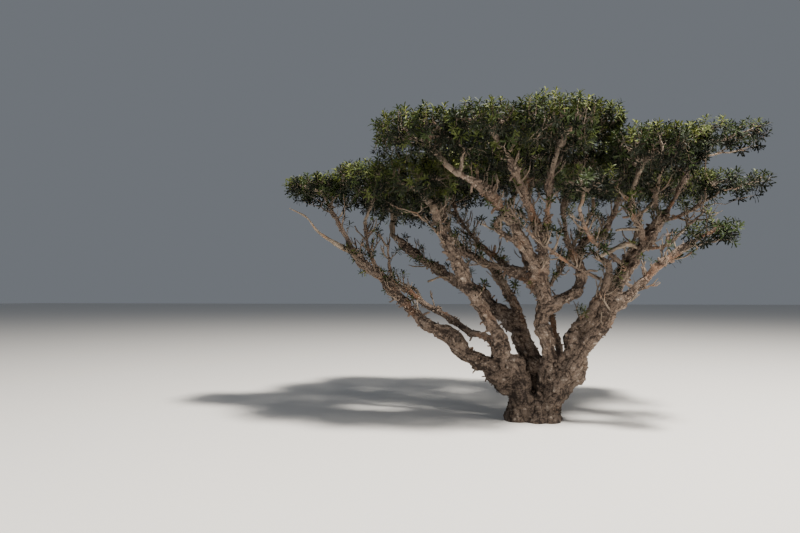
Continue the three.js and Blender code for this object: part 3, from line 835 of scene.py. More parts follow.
@dataclass(frozen=True)
class BarkGrain:
    """The node group that every kind of bark shares.

    The edges are pairs of levels between which a soft step rises. The heights are the shares of the
    mottle, the cracks and the fine noise in the bump, and the painted shade at the trunk's foot fades out
    between two heights in metres.
    """

    name: str = "bark_grain"
    mottle: GrainNoise = GrainNoise(1.0, 5.0)
    clouds: GrainNoise = GrainNoise(0.22, 3.0)
    fine: GrainNoise = GrainNoise(4.5, 4.0, 0.7)
    plate_times: float = 2.6
    crack_edges: Pair = (0.0, 0.16)
    mottle_swing: float = 0.6
    fine_swing: float = 0.5
    crack_depth: float = 0.22
    body_edges: Pair = (0.05, 0.5)
    ridge_edges: Pair = (0.5, 1.0)
    patch_swing: float = 0.22
    patch_edges: Pair = (0.53, 0.62)
    # Painted shade: the bark is darker towards the ground, as under the crown's shade
    foot_shade_edges: Pair = (0.15, 1.1)
    foot_shade_light: float = 0.52
    heights: Triple = (0.7, 0.35, 0.35)

    def group(self) -> NodeTree:
        """Gives the group, and builds it the first time.

        Returns:
            A group that turns the mesh's relief and youth into a mottled, cracked colour and a height,
            with painted shade in crevices and cracks and painted highlights on ridges.
        """
        if self.name in bpy.data.node_groups:
            return bpy.data.node_groups[self.name]
        inputs = dict.fromkeys(("Scale", "Relief", "Youth", "Flush Share"), "Float")
        inputs |= dict.fromkeys(("Crevice", "Body", "Ridge", "Flush"), "Color")
        group = new_tree(self.name, "ShaderNodeTree", inputs, {"Color": "Color", "Height": "Float"})
        wires = Wiring(group)
        given = wires.node("NodeGroupInput").outputs
        result = wires.node("NodeGroupOutput").inputs
        place = wires.node("ShaderNodeTexCoord").outputs["Object"]

        def scaled(value: object, times: float) -> NodeSocket:
            """Adds a product of an output and a number."""
            return wires.sum("MULTIPLY", value, times)

        def noise(kind: GrainNoise) -> NodeSocket:
            """Adds a noise."""
            scale = scaled(given["Scale"], kind.times)
            inputs = {"Vector": place, "Scale": scale, "Detail": kind.detail, "Roughness": kind.roughness}
            return wires.node("ShaderNodeTexNoise", inputs).outputs["Fac"]

        mottle, clouds, fine = noise(self.mottle), noise(self.clouds), noise(self.fine)
        cells = {"Vector": place, "Scale": scaled(given["Scale"], self.plate_times)}
        plates = wires.node("ShaderNodeTexVoronoi", cells, feature="DISTANCE_TO_EDGE")
        cracks = wires.rise(plates.outputs["Distance"], *self.crack_edges)
        uneven = wires.sum("SUBTRACT", fine, 0.5)
        swing = scaled(wires.sum("SUBTRACT", mottle, 0.5), self.mottle_swing)
        level = wires.sum("ADD", wires.sum("ADD", given["Relief"], swing), scaled(uneven, self.fine_swing))
        level = wires.sum("SUBTRACT", level, scaled(wires.sum("SUBTRACT", 1.0, cracks), self.crack_depth))
        # Painted shade in crevices and cracks, painted highlights on ridges, over the bark's own tones
        dark = wires.blend(wires.rise(level, *self.body_edges), given["Crevice"], given["Body"])
        colour = wires.blend(wires.rise(level, *self.ridge_edges), dark, given["Ridge"])
        patch = wires.sum("ADD", clouds, scaled(uneven, self.patch_swing))
        flushed = wires.sum("MULTIPLY", wires.rise(patch, *self.patch_edges), given["Flush Share"])
        flushed = wires.sum("MULTIPLY", flushed, given["Youth"], True)
        colour = wires.blend(flushed, colour, given["Flush"])
        # Painted shade: darkens the colour towards the ground, for the shade on the trunk's foot
        above = wires.node("ShaderNodeSeparateXYZ", {"Vector": place})
        unshaded = wires.rise(above.outputs["Z"], *self.foot_shade_edges)
        light = wires.sum("ADD", scaled(unshaded, 1 - self.foot_shade_light), self.foot_shade_light)
        foot_shaded = wires.node("ShaderNodeVectorMath", {0: colour, "Scale": light}, operation="SCALE")
        height = wires.sum("ADD", scaled(mottle, self.heights[0]), scaled(cracks, self.heights[1]))
        height = wires.sum("ADD", height, scaled(fine, self.heights[2]))
        wires.join(foot_shaded.outputs[0], result["Color"])
        wires.join(height, result["Height"])
        return group


# Partly the bark's own colours, partly painted shade in the crevices and painted highlights on the ridges
LIVING_BARK = BarkFinish(
    name="living_bark",
    crevice=(0.036, 0.026, 0.021),
    body=(0.168, 0.124, 0.096),
    ridge=(0.440, 0.372, 0.312),
    flush=(0.250, 0.126, 0.070),
    flush_share=0.5,
    grain=12.0,
    bump=0.8,
    roughness=0.94,
)
TWIG_BARK = BarkFinish(
    name="twig_bark",
    crevice=(0.065, 0.050, 0.038),
    body=(0.200, 0.158, 0.122),
    ridge=(0.400, 0.330, 0.260),
    flush=(0.270, 0.145, 0.080),
    flush_share=0.45,
    grain=26.0,
    bump=0.4,
    roughness=0.9,
)
DEAD_WOOD = BarkFinish(
    name="dead_wood",
    crevice=(0.090, 0.068, 0.050),
    body=(0.280, 0.225, 0.170),
    ridge=(0.480, 0.400, 0.315),
    flush=(0.330, 0.190, 0.100),
    flush_share=0.5,
    grain=20.0,
    bump=0.5,
    roughness=0.88,
)
PEELING_BARK = BarkFinish(
    name="peeling_bark",
    crevice=(0.080, 0.060, 0.046),
    body=(0.230, 0.182, 0.145),
    ridge=(0.400, 0.330, 0.270),
    flush=(0.290, 0.155, 0.085),
    flush_share=0.6,
    grain=34.0,
    bump=0.3,
    roughness=0.85,
)


# The bark


@dataclass
class TrunkPlan:
    """The sizes of the trunk's foot, in millimetres, as the frame has them."""

    heights: Numbers = (0, 50, 130, 230, 300, 350)
    widths: Numbers = (372, 345, 328, 325, 300, 200)
    shift: Numbers = (-25, -8, 0, 0, 0, 0)
    ridge_depth: Numbers = (0.13, 0.11, 0.08, 0.07, 0.06, 0.04)
    ridges: int = 5
    ridge_turn: float = 24
    flatness: float = 0.9
    core_share: float = 0.8
    buried: float = 50.0
    sides: int = 80
    levels: int = 16

    def skin(self) -> tuple[Array, Array]:
        """Draws the foot as one closed fluted body, which starts just under the ground.

        Returns:
            Its corners and its triangles.
        """
        heights = np.linspace(self.heights[0] - self.buried, self.heights[-1], self.levels)
        turn = 2 * math.pi * np.arange(self.sides) / self.sides
        rings = []
        for height in heights:
            width = np.interp(height, self.heights, self.widths) * self.core_share
            shift = np.interp(height, self.heights, self.shift)
            depth = np.interp(height, self.heights, self.ridge_depth)
            half = width * (1 + depth * np.cos(self.ridges * turn + math.radians(self.ridge_turn)))
            x = half * np.cos(turn) + shift
            y = half * self.flatness * np.sin(turn)
            rings.append(np.stack([x, y, np.full(self.sides, height)], 1))
        middle = np.array([[self.shift[0], 0, heights[0]], [self.shift[-1], 0, heights[-1]]])
        corners = np.vstack([*rings, middle])
        k = np.arange(self.sides)
        after = (k + 1) % self.sides
        end = (self.levels - 1) * self.sides
        foot = np.stack([np.full(self.sides, len(corners) - 2), after, k], 1)
        top = np.stack([np.full(self.sides, len(corners) - 1), end + k, end + after], 1)
        return corners, np.vstack([bands(self.levels, self.sides), foot, top])


@dataclass(frozen=True)
class BarkSpots:
    """Where each corner of a skin lies: its limb's number, the limb's half-thickness there, the way to the
    corner from the limb's middle line, and the length along that line, in metres."""

    owner: Array
    half: Array
    offset: Array
    length: Array


@dataclass(frozen=True)
class CarvedSkin:
    """A skin once the bark is carved: its four-sided faces, and the place, owner, relief and youth of each
    of its corners. The owner is a limb's number."""

    faces: Array
    corners: Array
    owner: Array
    relief: Array
    youth: Array


@dataclass(frozen=True)
class Groove:
    """A pattern of grooves in the bark: furrows that run along a limb, or folds that run across it.

    The grains are counts for each metre across and along the limb. The depth is over its half-thickness,
    and the least and most depths are in metres.
    """

    seed: int
    across: float
    along: Triple
    shift: float
    edge: float
    depth: float
    least: float
    most: float

    def depth_of(self, spots: BarkSpots, size: Array) -> Array:
        """Works out how deep the grooves are.

        Args:
            spots: where the corners lie.
            size: the half-thickness that counts for each.

        Returns:
            The depth at each corner, in metres.
        """
        grain = spots.offset * self.across + np.outer(spots.length, self.along)
        grain = grain + spots.owner[:, None] * self.shift
        sharp = step_between(1 - np.abs(lattice_noise(grain, self.seed)), self.edge, 1.0)
        return sharp * np.clip(size * self.depth, self.least, self.most)


@dataclass(frozen=True)
class BarkNoise:
    """One noise over the bark: its seed, its grain for each metre, and its height or strength."""

    seed: int
    grain: float
    height: float

    def at(self, corners: Array) -> Array:
        """Reads the noise, from -1 to 1, at each corner."""
        return lattice_noise(corners * self.grain, self.seed)


@dataclass(frozen=True)
class BarkRelief:
    """How far the bark stands out or is cut in: lumps, burls, knobs, furrows, folds and a fine grain.

    The heights of lumps, burls, knobs and grain are over the half-thickness.
    """

    sizes: Pair = (0.012, 0.14)
    widest_lump: float = 0.078
    lumps: BarkNoise = BarkNoise(1, 6.5, 0.24)
    burls: BarkNoise = BarkNoise(2, 15.0, 0.19)
    knobs: BarkNoise = BarkNoise(3, 24.0, 0.25)
    knob_level: float = 0.25
    knob_heights: Pair = (0.002, 0.02)
    grain: BarkNoise = BarkNoise(5, 48.0, 0.03)
    grain_heights: Pair = (0.0006, 0.0025)
    furrows: Groove = Groove(4, 23.0, (3.2, 3.2, 3.2), 3.7, 0.74, 0.15, 0.0015, 0.013)
    folds: Groove = Groove(9, 5.0, (16.0, 11.2, 6.4), 1.9, 0.78, 0.09, 0.001, 0.007)
    full_height: float = 0.036
    full_grain: float = 0.02
    level: float = 0.5
    mottle: BarkNoise = BarkNoise(6, 7.0, 0.2)

    def rise_of(self, corners: Array, spots: BarkSpots) -> tuple[Array, Array]:
        """Works out how far each corner moves along its normal.

        Args:
            corners: the smooth skin's corners.
            spots: where they lie.

        Returns:
            The move of each corner, in metres, and its relief from 0 in a crevice to 1 on a ridge.
        """
        size = np.clip(spots.half, *self.sizes)
        lumps = self.lumps.at(corners) * self.lumps.height
        burls = self.burls.at(corners) * self.burls.height
        knobs = np.maximum(self.knobs.at(corners) - self.knob_level, 0)
        knobs = knobs * np.clip(size * self.knobs.height, *self.knob_heights)
        fine = self.grain.at(corners) * np.clip(size * self.grain.height, *self.grain_heights)
        depth = self.furrows.depth_of(spots, size) + self.folds.depth_of(spots, size)
        rise = (lumps + burls) * np.minimum(size, self.widest_lump) + knobs - depth + fine
        mottle = self.mottle.at(corners) * self.mottle.height
        relief = self.level + (knobs - depth) / self.full_height + fine / self.full_grain + mottle
        return rise, np.clip(relief, 0, 1)


@dataclass
class Wood:
    """The trunk, the stems and the boughs: one grown skin with the bark's relief, cut into a few pieces."""

    limbs: dict[str, Limb]
    trunk: TrunkPlan = field(default_factory=TrunkPlan)
    living_voxel: float = 0.0143
    dead_voxel: float = 0.008
    tube_sides: int = 20
    smooth_rounds: int = 2
    fork_rounds: int = 5
    fork_top: float = 0.95
    fork_foot: float = 0.6
    ground_fade: Pair = (0.004, 0.05)
    ground_snap: float = 0.006
    youth_halves: Pair = (0.030, 0.105)
    trunk_top: float = 380.0
    trunk_half: float = 290.0
    trunk_places: int = 12
    block: int = 20000
    smoothing: float = 0.6
    place_step: int = 2
    relief: BarkRelief = BarkRelief()

    def living(self) -> list[Limb]:
        """The limbs that are alive."""
        return [limb for limb in self.limbs.values() if limb.name not in DEAD_LIMBS]

    def build(self) -> list[Object]:
        """Makes the wood's pieces.

        Returns:
            The living pieces, and then the dead one.
        """
        shell = Shell()
        shell.add(*self.trunk.skin())
        for limb in self.living():
            shell.add(*tube(limb.path, limb.halves, self.tube_sides))
        for limb in self.living():
            if limb.plan.is_stem:
                way, halves = limb.root(self.trunk.widths[0], self.trunk.flatness, self.trunk.shift[0])
                shell.add(*tube(way, halves, self.tube_sides))
        skin = self.carved(self.fused("living_wood", shell, self.living_voxel), self.living(), True)
        stems = [i for i, limb in enumerate(self.living()) if limb.plan.is_stem] + [len(self.living())]
        is_stem = np.isin(skin.owner, stems)
        material = LIVING_BARK.material()
        stem_names = ("trunk", *(limb.name for limb in self.living() if limb.plan.is_stem))
        bough_names = tuple(limb.name for limb in self.living() if not limb.plan.is_stem)
        return [
            self.part("trunk_and_stems", skin, is_stem, stem_names, material, "bark"),
            self.part("living_boughs", skin, ~is_stem, bough_names, material, "bark"),
            self.dead_piece(),
        ]

    def fused(self, name: str, shell: Shell, voxel: float) -> Mesh:
        """Grows overlapping closed bodies into one skin.

        Args:
            name: the skin's name.
            shell: the bodies, in millimetres.
            voxel: the fineness of the skin, in metres.

        Returns:
            The skin, in metres.
        """
        rough = shell.mesh(name + "_rough")
        rough.transform(Matrix.Scale(MM, 4))
        source = bpy.data.objects.new(name + "_source", rough)
        bpy.context.scene.collection.objects.link(source)
        modifier = source.modifiers.new("grow", "REMESH")
        modifier.mode = "VOXEL"
        modifier.voxel_size = voxel
        mesh = evaluated_mesh(source, name)
        bpy.data.objects.remove(source)
        bpy.data.meshes.remove(rough)
        return mesh

    def carved(self, mesh: Mesh, limbs: list[Limb], forked: bool) -> CarvedSkin:
        """Smooths a skin and carves the bark's relief into it.

        Args:
            mesh: the skin, which is used up.
            limbs: the limbs that it covers.
            forked: whether it holds the trunk's fork, which is smoothed more, and its cut at the ground.

        Returns:
            The carved skin.
        """
        corners = corners_of(mesh)
        edges = read(mesh.edges, "vertices", 2, np.int32)
        corners = smoothed(corners, edges, self.smooth_rounds, np.full(len(corners), self.smoothing))
        if forked:
            low = 1 - step_between(corners[:, 2], self.fork_foot, self.fork_top)
            corners = smoothed(corners, edges, self.fork_rounds, self.smoothing * low)
        spots = self.nearest(corners, limbs, forked)
        mesh.vertices.foreach_set("co", corners.astype(np.float32).ravel())
        mesh.update()
        normals = read(mesh.vertex_normals, "vector", 3, np.float32).astype(np.float64)
        rise, relief = self.relief.rise_of(corners, spots)
        if forked:
            rise = rise * step_between(corners[:, 2], *self.ground_fade)
        corners = corners + normals * rise[:, None]
        if forked:
            corners[:, 2] = np.where(corners[:, 2] < self.ground_snap, 0.0, corners[:, 2])
        youth = 1 - step_between(spots.half, *self.youth_halves)
        faces = read(mesh.loops, "vertex_index", 1, np.int32).reshape(-1, 4)
        bpy.data.meshes.remove(mesh)
        return CarvedSkin(faces, corners, spots.owner, relief, youth)

    def nearest(self, corners: Array, limbs: list[Limb], forked: bool) -> BarkSpots:
        """Finds the limb whose skin each corner is on.

        Args:
            corners: the corners, in metres.
            limbs: the limbs.
            forked: whether the trunk is one of the owners, after the last limb.

        Returns:
            Where each corner lies on its limb.
        """
        places = [limb.path[:: self.place_step] for limb in limbs]
        halves = [limb.halves[:: self.place_step] for limb in limbs]
        if forked:
            heights = np.linspace(0, self.trunk_top, self.trunk_places)
            places.append(np.outer(heights, UP))
            halves.append(np.full(self.trunk_places, self.trunk_half))
        owners = np.concatenate([np.full(len(p), i) for i, p in enumerate(places)])
        steps = [np.linalg.norm(np.diff(p, axis=0), axis=1) for p in places]
        lengths = np.concatenate([np.concatenate([[0], np.cumsum(step)]) for step in steps]) * MM
        lines = np.vstack([np.gradient(p, axis=0) for p in places])
        lines /= np.linalg.norm(lines, axis=1)[:, None]
        middle = np.vstack(places) * MM
        half = np.concatenate(halves) * MM
        best = np.empty(len(corners), dtype=np.int64)
        for start in range(0, len(corners), self.block):
            block = corners[start:start + self.block]
            square = (block**2).sum(1)[:, None] + (middle**2).sum(1)[None] - 2 * block @ middle.T
            best[start:start + self.block] = np.argmin(np.sqrt(np.maximum(square, 0)) - half[None], axis=1)
        way = corners - middle[best]
        ahead = (way * lines[best]).sum(1)
        offset = way - lines[best] * ahead[:, None]
        return BarkSpots(owners[best], half[best], offset, lengths[best] + ahead)

    def part(
        self, name: str, skin: CarvedSkin, wanted: Array, nodes: Names, material: Material, slot: str
    ) -> Object:
        """Makes a piece of the faces whose first corner is wanted.

        Args:
            name: the piece's name.
            skin: the whole skin.
            wanted: whether each corner is wanted.
            nodes: the frame's nodes that it stands for.
            material: its finish.
            slot: not used.

        Returns:
            The piece.
        """
        faces = skin.faces[wanted[skin.faces[:, 0]]]
        used, numbers = np.unique(faces, return_inverse=True)
        made = mesh_of(name, skin.corners[used], numbers.reshape(-1, 4))
        set_values(made, "relief", skin.relief[used])
        set_values(made, "youth", skin.youth[used])
        made.materials.append(material)
        return show(made, nodes, smooth=True)

    def dead_piece(self) -> Object:
        """Makes the dead limbs, which are thinner and paler and have lost their bark.

        Returns:
            One piece for all of them.
        """
        limbs = [self.limbs[name] for name in DEAD_LIMBS]
        shell = Shell()
        for limb in limbs:
            shell.add(*tube(limb.path, limb.halves, self.tube_sides))
        skin = self.carved(self.fused("dead_skin", shell, self.dead_voxel), limbs, False)
        every = np.ones(len(skin.corners), dtype=bool)
        return self.part("dead_limbs", skin, every, DEAD_LIMBS, DEAD_WOOD.material(), "dead_bark")


def smoothed(corners: Array, edges: Array, rounds: int, share: Array) -> Array:
    """Moves each corner towards the middle of its neighbours.

    Args:
        corners: the corners.
        edges: pairs of corners that are neighbours.
        rounds: how often.
        share: how far each corner moves, from 0 to 1.

    Returns:
        The new corners.
    """
    count = np.bincount(edges.ravel(), minlength=len(corners)).astype(float)
    moved = corners.copy()
    for _ in range(rounds):
        total = np.zeros_like(moved)
        for axis, (near, far) in itertools.product(range(3), ((0, 1), (1, 0))):
            beside = moved[edges[:, far], axis]
            total[:, axis] += np.bincount(edges[:, near], weights=beside, minlength=len(moved))
        moved += (total / count[:, None] - moved) * share[:, None]
    return moved


# What is scattered or dealt out by nodes


@dataclass(frozen=True)
class FlakeShape:
    """A curled flake of papery bark, 1 unit long, which lifts off along one edge."""

    width: float
    curl: float
    skew: float
    columns: Numbers = (-0.5, -0.1, 0.5)
    rows: Numbers = (-0.5, 0.05, 0.5)
    lowest: float = 0.02
    end_curl: float = 0.6
    curl_wave: float = 2.0
    ragged: float = 0.08
    ragged_across: float = 0.5
    ragged_waves: Pair = (7.0, 5.0)
    slant: float = 0.05

    def mesh(self, name: str) -> Mesh:
        """Makes the flake.

        Args:
            name: the mesh's name.

        Returns:
            A sheet of eight faces that rises along one edge.
        """
        places = []
        for i, x in enumerate(self.columns):
            for j, y in enumerate(self.rows):
                curl = self.end_curl + (1 - self.end_curl) * math.cos(self.curl_wave * x)
                lift = self.lowest + self.curl * (j / (len(self.rows) - 1)) ** 2 * curl
                wave = self.ragged_waves[0] * x + self.ragged_waves[1] * y + self.skew
                moved = self.ragged * math.sin(wave)
                across = (y + moved * self.ragged_across) * self.width + self.skew * self.slant * i
                places.append([x + moved, across, lift])
        faces = [[a, a + 3, a + 4] for a in (0, 1, 3, 4)] + [[a, a + 4, a + 1] for a in (0, 1, 3, 4)]
        return mesh_of(name, np.array(places), np.array(faces))


@dataclass(frozen=True)
class KnobShape:
    """A stubby knob that a lost shoot leaves on a limb, 1 unit high.

    It is drawn through four heights. The bends are its lean to either side there, over its whole lean, and
    the halves its half-thickness over its width.
    """

    width: float
    lean: float
    heights: Numbers = (-0.35, 0.3, 0.75, 1.0)
    bends: tuple[Pair, ...] = ((0, 0), (0.2, 0), (0.7, 0.2), (1.0, 0))
    halves: Numbers = (0.65, 0.5, 0.46, 0.22)
    sides: int = 5

    def mesh(self, name: str) -> Mesh:
        """Makes the knob: a short, blunt, leaning peg whose foot lies under the bark."""
        path = np.column_stack([np.array(self.bends) * self.lean, self.heights])
        return mesh_of(name, *tube(path, self.width * np.array(self.halves), self.sides))


@dataclass(frozen=True)
class LitterPlan:
    """One kind of small thing that stands on the bark, in metres.

    The relief and the youth are what the bark's finish reads on it. It stands closest where the skin's
    own youth is full_youth or more, and only above the lowest height.
    """

    name: str
    shapes: tuple[FlakeShape | KnobShape, ...]
    per_m2: float
    smallest: float
    largest: float
    seed: int
    relief: float
    youth: float
    full_youth: float = 1.0
    lowest: float = 0.045
    papery: bool = False


LITTER_PLANS = (
    LitterPlan(
        name="flake",
        shapes=(FlakeShape(0.62, 0.34, 0.0), FlakeShape(0.8, 0.22, 1.1), FlakeShape(0.5, 0.45, 2.3)),
        per_m2=130.0,
        smallest=0.012,
        largest=0.036,
        seed=11,
        relief=0.62,
        youth=0.6,
        full_youth=0.7,
        papery=True,
    ),
    LitterPlan(
        name="knob",
        shapes=(KnobShape(0.8, 0.25), KnobShape(1.0, 0.1), KnobShape(0.62, 0.5)),
        per_m2=80.0,
        smallest=0.012,
        largest=0.038,
        seed=31,
        relief=0.6,
        youth=0.45,
        full_youth=0.5,
    ),
    LitterPlan(
        name="stub",
        shapes=(KnobShape(0.36, 0.5), KnobShape(0.44, 0.3), KnobShape(0.3, 0.7)),
        per_m2=9.0,
        smallest=0.045,
        largest=0.115,
        seed=51,
        relief=0.55,
        youth=0.4,
        lowest=0.25,
    ),
)


@dataclass(frozen=True)
class Scatter:
    """One kind of small thing, spread over a skin by a node tree."""

    plan: LitterPlan
    number: int
    least_share: float = 0.25
    sway: float = 0.35

    @property
    def name(self) -> str:
        """The name of its piece."""
        return f"bark_{self.plan.name}s_{self.number}"

    def tree(self) -> NodeTree:
        """Builds the node tree.

        Returns:
            The tree, which puts samples on a skin.
        """
        inputs = {"Geometry": "Geometry", "Samples": "Collection", "Material": "Material", "Seed": "Int"}
        inputs |= dict.fromkeys(("Density", "Smallest", "Largest"), "Float")
        tree = new_tree("scatter_" + self.name, "GeometryNodeTree", inputs, {"Geometry": "Geometry"})
        wires = Wiring(tree)
        given = wires.node("NodeGroupInput").outputs
        place = wires.node("GeometryNodeInputPosition").outputs["Position"]
        height = wires.node("ShaderNodeSeparateXYZ", {"Vector": place}).outputs["Z"]
        above = wires.sum("GREATER_THAN", height, self.plan.lowest)
        youth = wires.node("GeometryNodeInputNamedAttribute", {"Name": "youth"}, data_type="FLOAT")
        levels = {"Value": youth.outputs["Attribute"], "From Max": self.plan.full_youth}
        rise = wires.node("ShaderNodeMapRange", levels | {"To Min": self.least_share})
        density = wires.sum("MULTIPLY", given["Density"], rise.outputs["Result"])
        density = wires.sum("MULTIPLY", density, above)
        spots = {"Mesh": given["Geometry"], "Density": density, "Seed": given["Seed"]}
        points = wires.node("GeometryNodeDistributePointsOnFaces", spots, distribute_method="RANDOM")
        sways = {0: (-self.sway, -self.sway, 0.0), 1: (self.sway, self.sway, 2 * math.pi)}
        sways["Seed"] = given["Seed"]
        spin = wires.node("FunctionNodeRandomValue", sways, data_type="FLOAT_VECTOR")
        turns = {"Rotation": points.outputs["Rotation"], "Rotate By": spin.outputs[0]}
        turn = wires.node("FunctionNodeRotateRotation", turns, rotation_space="LOCAL")
        sizes = dict(zip(FLOAT_RANGE, (given["Smallest"], given["Largest"])))
        size = wires.node("FunctionNodeRandomValue", sizes, data_type="FLOAT")
        kinds = dict(zip(INT_RANGE, (0, len(self.plan.shapes) - 1)))
        pick = wires.node("FunctionNodeRandomValue", kinds, data_type="INT")
        real = wires.placed(
            given["Samples"],
            points.outputs["Points"],
            pick.outputs[INT_PICK],
            turn.outputs["Rotation"],
            size.outputs[FLOAT_PICK],
        )
        done = wires.finished(real, given["Material"])
        wires.node("NodeGroupOutput", {"Geometry": done})
        return tree

    def spread(self, skin: Mesh, material: Material) -> Mesh:
        """Spreads the things over a skin.

        Args:
            skin: the mesh that they stand on.
            material: their finish.

        Returns:
            One joined mesh of all of them.
        """
        kinds = [shape.mesh(f"{self.plan.name}_{i}") for i, shape in enumerate(self.plan.shapes)]
        values = {
            "Density": self.plan.per_m2,
            "Smallest": self.plan.smallest,
            "Largest": self.plan.largest,
            "Seed": self.plan.seed + self.number - 1,
            "Material": material,
        }
        mesh = run_tree(self.name, skin, self.tree(), values, kinds)
        for kind in kinds:
            bpy.data.meshes.remove(kind)
        return mesh


@dataclass(frozen=True)
class BarkDetail:
    """The flakes, knobs and stubs on the bark of the stems and boughs."""

    plans: tuple[LitterPlan, ...] = LITTER_PLANS

    def build(self, skins: list[Object]) -> None:
        """Makes each kind on each skin.

        Args:
            skins: the wood's living pieces.
        """
        peeling = PEELING_BARK.material()
        for (number, skin), plan in itertools.product(enumerate(skins, 1), self.plans):
            bark = peeling if plan.papery else skin.data.materials[0]
            mesh = Scatter(plan, number).spread(skin.data, bark)
            for name, value in (("relief", plan.relief), ("youth", plan.youth)):
                set_values(mesh, name, np.full(len(mesh.vertices), value))
            show(mesh, smooth=not plan.papery)


def run_tree(name: str, mesh: Mesh, tree: NodeTree, values: dict[str, object], samples: list[Mesh]) -> Mesh:
    """Runs a geometry node tree on a mesh.

    Args:
        name: the new mesh's name.
        mesh: what the tree is given.
        tree: the tree.
        values: the values of its inputs, by their labels.
        samples: the meshes that it picks from, in order.

    Returns:
        The mesh that comes out.
    """
    collection = bpy.data.collections.new(name + "_samples")
    for i, sample in enumerate(samples):
        collection.objects.link(bpy.data.objects.new(f"{name}_samples_{i:02d}", sample))
    source = bpy.data.objects.new(name + "_source", mesh)
    bpy.context.scene.collection.objects.link(source)
    modifier = source.modifiers.new("nodes", "NODES")
    modifier.node_group = tree
    for socket in tree.interface.items_tree:
        if socket.in_out == "INPUT" and socket.name != "Geometry":
            modifier[socket.identifier] = collection if socket.name == "Samples" else values[socket.name]
    made = evaluated_mesh(source, name)
    for used in (source, *collection.objects):
        bpy.data.objects.remove(used)
    bpy.data.collections.remove(collection)
    return made


# The foliage


@dataclass(frozen=True)
class MassPlan:
    """The place of one foliage mass, in millimetres, as the frame has it.

    The shade is how many tones darker it is than a mass that stands free on top of the crown.
    """

    name: str
    bough: str
    middle: Triple
    half: Triple
    dense: bool = True
    shade: float = 0.0


MASS_PLANS = (
    MassPlan("west_tip_leaves", "west_high", (-2830, -320, 3105), (590, 600, 235)),
    MassPlan("west_leaves", "west_upper", (-2250, -250, 3125), (640, 760, 365)),
    MassPlan("far_left_leaves", "back_left_stem", (-1850, 820, 3045), (760, 740, 370)),
    MassPlan("left_leaves", "left_stem", (-1480, -780, 3080), (640, 640, 430)),
    MassPlan("inner_leaves", "left_inner", (-1030, 150, 3360), (700, 760, 370)),
    MassPlan("back_left_leaves", "back_left_bough", (-1220, 1480, 3380), (880, 780, 320)),
    MassPlan("upper_left_leaves", "centre_stem", (-1290, -1130, 3530), (680, 680, 380)),
    MassPlan("upper_leaves", "upper_bough", (-520, -1300, 3500), (640, 700, 370)),
    MassPlan("front_leaves", "front_top_bough", (230, -1220, 3530), (660, 700, 380)),
    MassPlan("heart_leaves", "heart_bough", (-130, 200, 3640), (900, 880, 390)),
    MassPlan("top_leaves", "top_bough", (660, -420, 3675), (630, 720, 385)),
    MassPlan("back_leaves", "back_bough", (-120, 1530, 3500), (860, 800, 330)),
    MassPlan("middle_leaves", "east_bough", (1080, 620, 3400), (780, 760, 380)),
    MassPlan("far_leaves", "thin_stem", (970, 1620, 3350), (800, 740, 320)),
    MassPlan("far_right_leaves", "back_east_bough", (1950, 1240, 3230), (780, 720, 310)),
    MassPlan("low_front_leaves", "front_bough", (630, -1140, 2870), (480, 470, 270), False, 1.0),
    MassPlan("shoulder_leaves", "shoulder_bough", (1280, -640, 3320), (660, 660, 370), True, 0.5),
    MassPlan("right_leaves", "right_bough", (1760, -80, 3460), (620, 630, 370), True, 0.5),
    MassPlan("right_top_leaves", "right_top_bough", (2440, 400, 3720), (700, 540, 310), False, 0.8),
    MassPlan("right_mid_leaves", "right_mid_bough", (2310, -260, 2950), (590, 500, 260), False, 1.0),
    MassPlan("right_low_leaves", "right_low_bough", (2050, -700, 2340), (390, 380, 225), False, 0.8),
)


class Space:
    """The space of one mass: an ellipsoid, less what lies past the fences between it and its neighbours."""

    room_between: float = 6.0

    def __init__(self, plan: MassPlan) -> None:
        """Starts the space.

        Args:
            plan: the mass's place.
        """
        self.middle = np.array(plan.middle, dtype=float)
        self.half = np.array(plan.half, dtype=float)
        self.shade = plan.shade
        self.ways: list[Array] = []
        self.limits: list[float] = []

    def fence_from(self, other: "Space") -> None:
        """Puts a fence between it and another space, nearer the smaller one.

        Args:
            other: the other space.
        """
        way = other.middle - self.middle
        apart = float(np.linalg.norm(way))
        way = way / apart
        mine = float(np.linalg.norm(way * self.half))
        theirs = float(np.linalg.norm(way * other.half))
        self.ways.append(way)
        share = mine / (mine + theirs)
        self.limits.append(float(self.middle @ way) + apart * share - self.room_between / 2)

    def pulled_in(self, places: Array) -> tuple[Array, Array]:
        """Moves places towards the middle until the fences hold them.

        Args:
            places: the places, one row each.

        Returns:
            The places moved, and the share of the way out that each kept.
        """
        way = places - self.middle
        past = way @ np.array(self.ways).T
        room = np.array(self.limits) - np.array(self.ways) @ self.middle
        share = np.where(past > room, room / np.maximum(past, 1e-6), 1.0).min(axis=1)
        return self.middle + way * share[:, None], share


class LeafTone(Enum):
    """The leaf colours as painted light and shade: lit and shaded copies dealt out from the sunlit top
    of the crown to its underside.
    """

    GOLDEN = 0
    OLIVE = 1
    GREEN = 2
    SHADED = 3
    DEEP = 4

    @classmethod
    def dealt(cls, shade: float) -> int:
        """Turns a shade, 0 on the sunlit top and more below, into a tone's number."""
        return int(np.clip(round(shade), cls.GOLDEN.value, cls.DEEP.value))


@dataclass(frozen=True)
class LeafFinish:
    """The finish of the leaves of one tone."""

    tone: LeafTone
    colour: Triple
    shine: float
    roughness: float = 0.5

    def material(self) -> Material:
        """Makes the material.

        Returns:
            A plain, softly shining leaf.
        """
        name = "leaf_" + self.tone.name.lower()
        material, shader = plain_material(name, self.roughness, self.shine)
        shader.inputs["Base Color"].default_value = (*self.colour, 1)
        return material


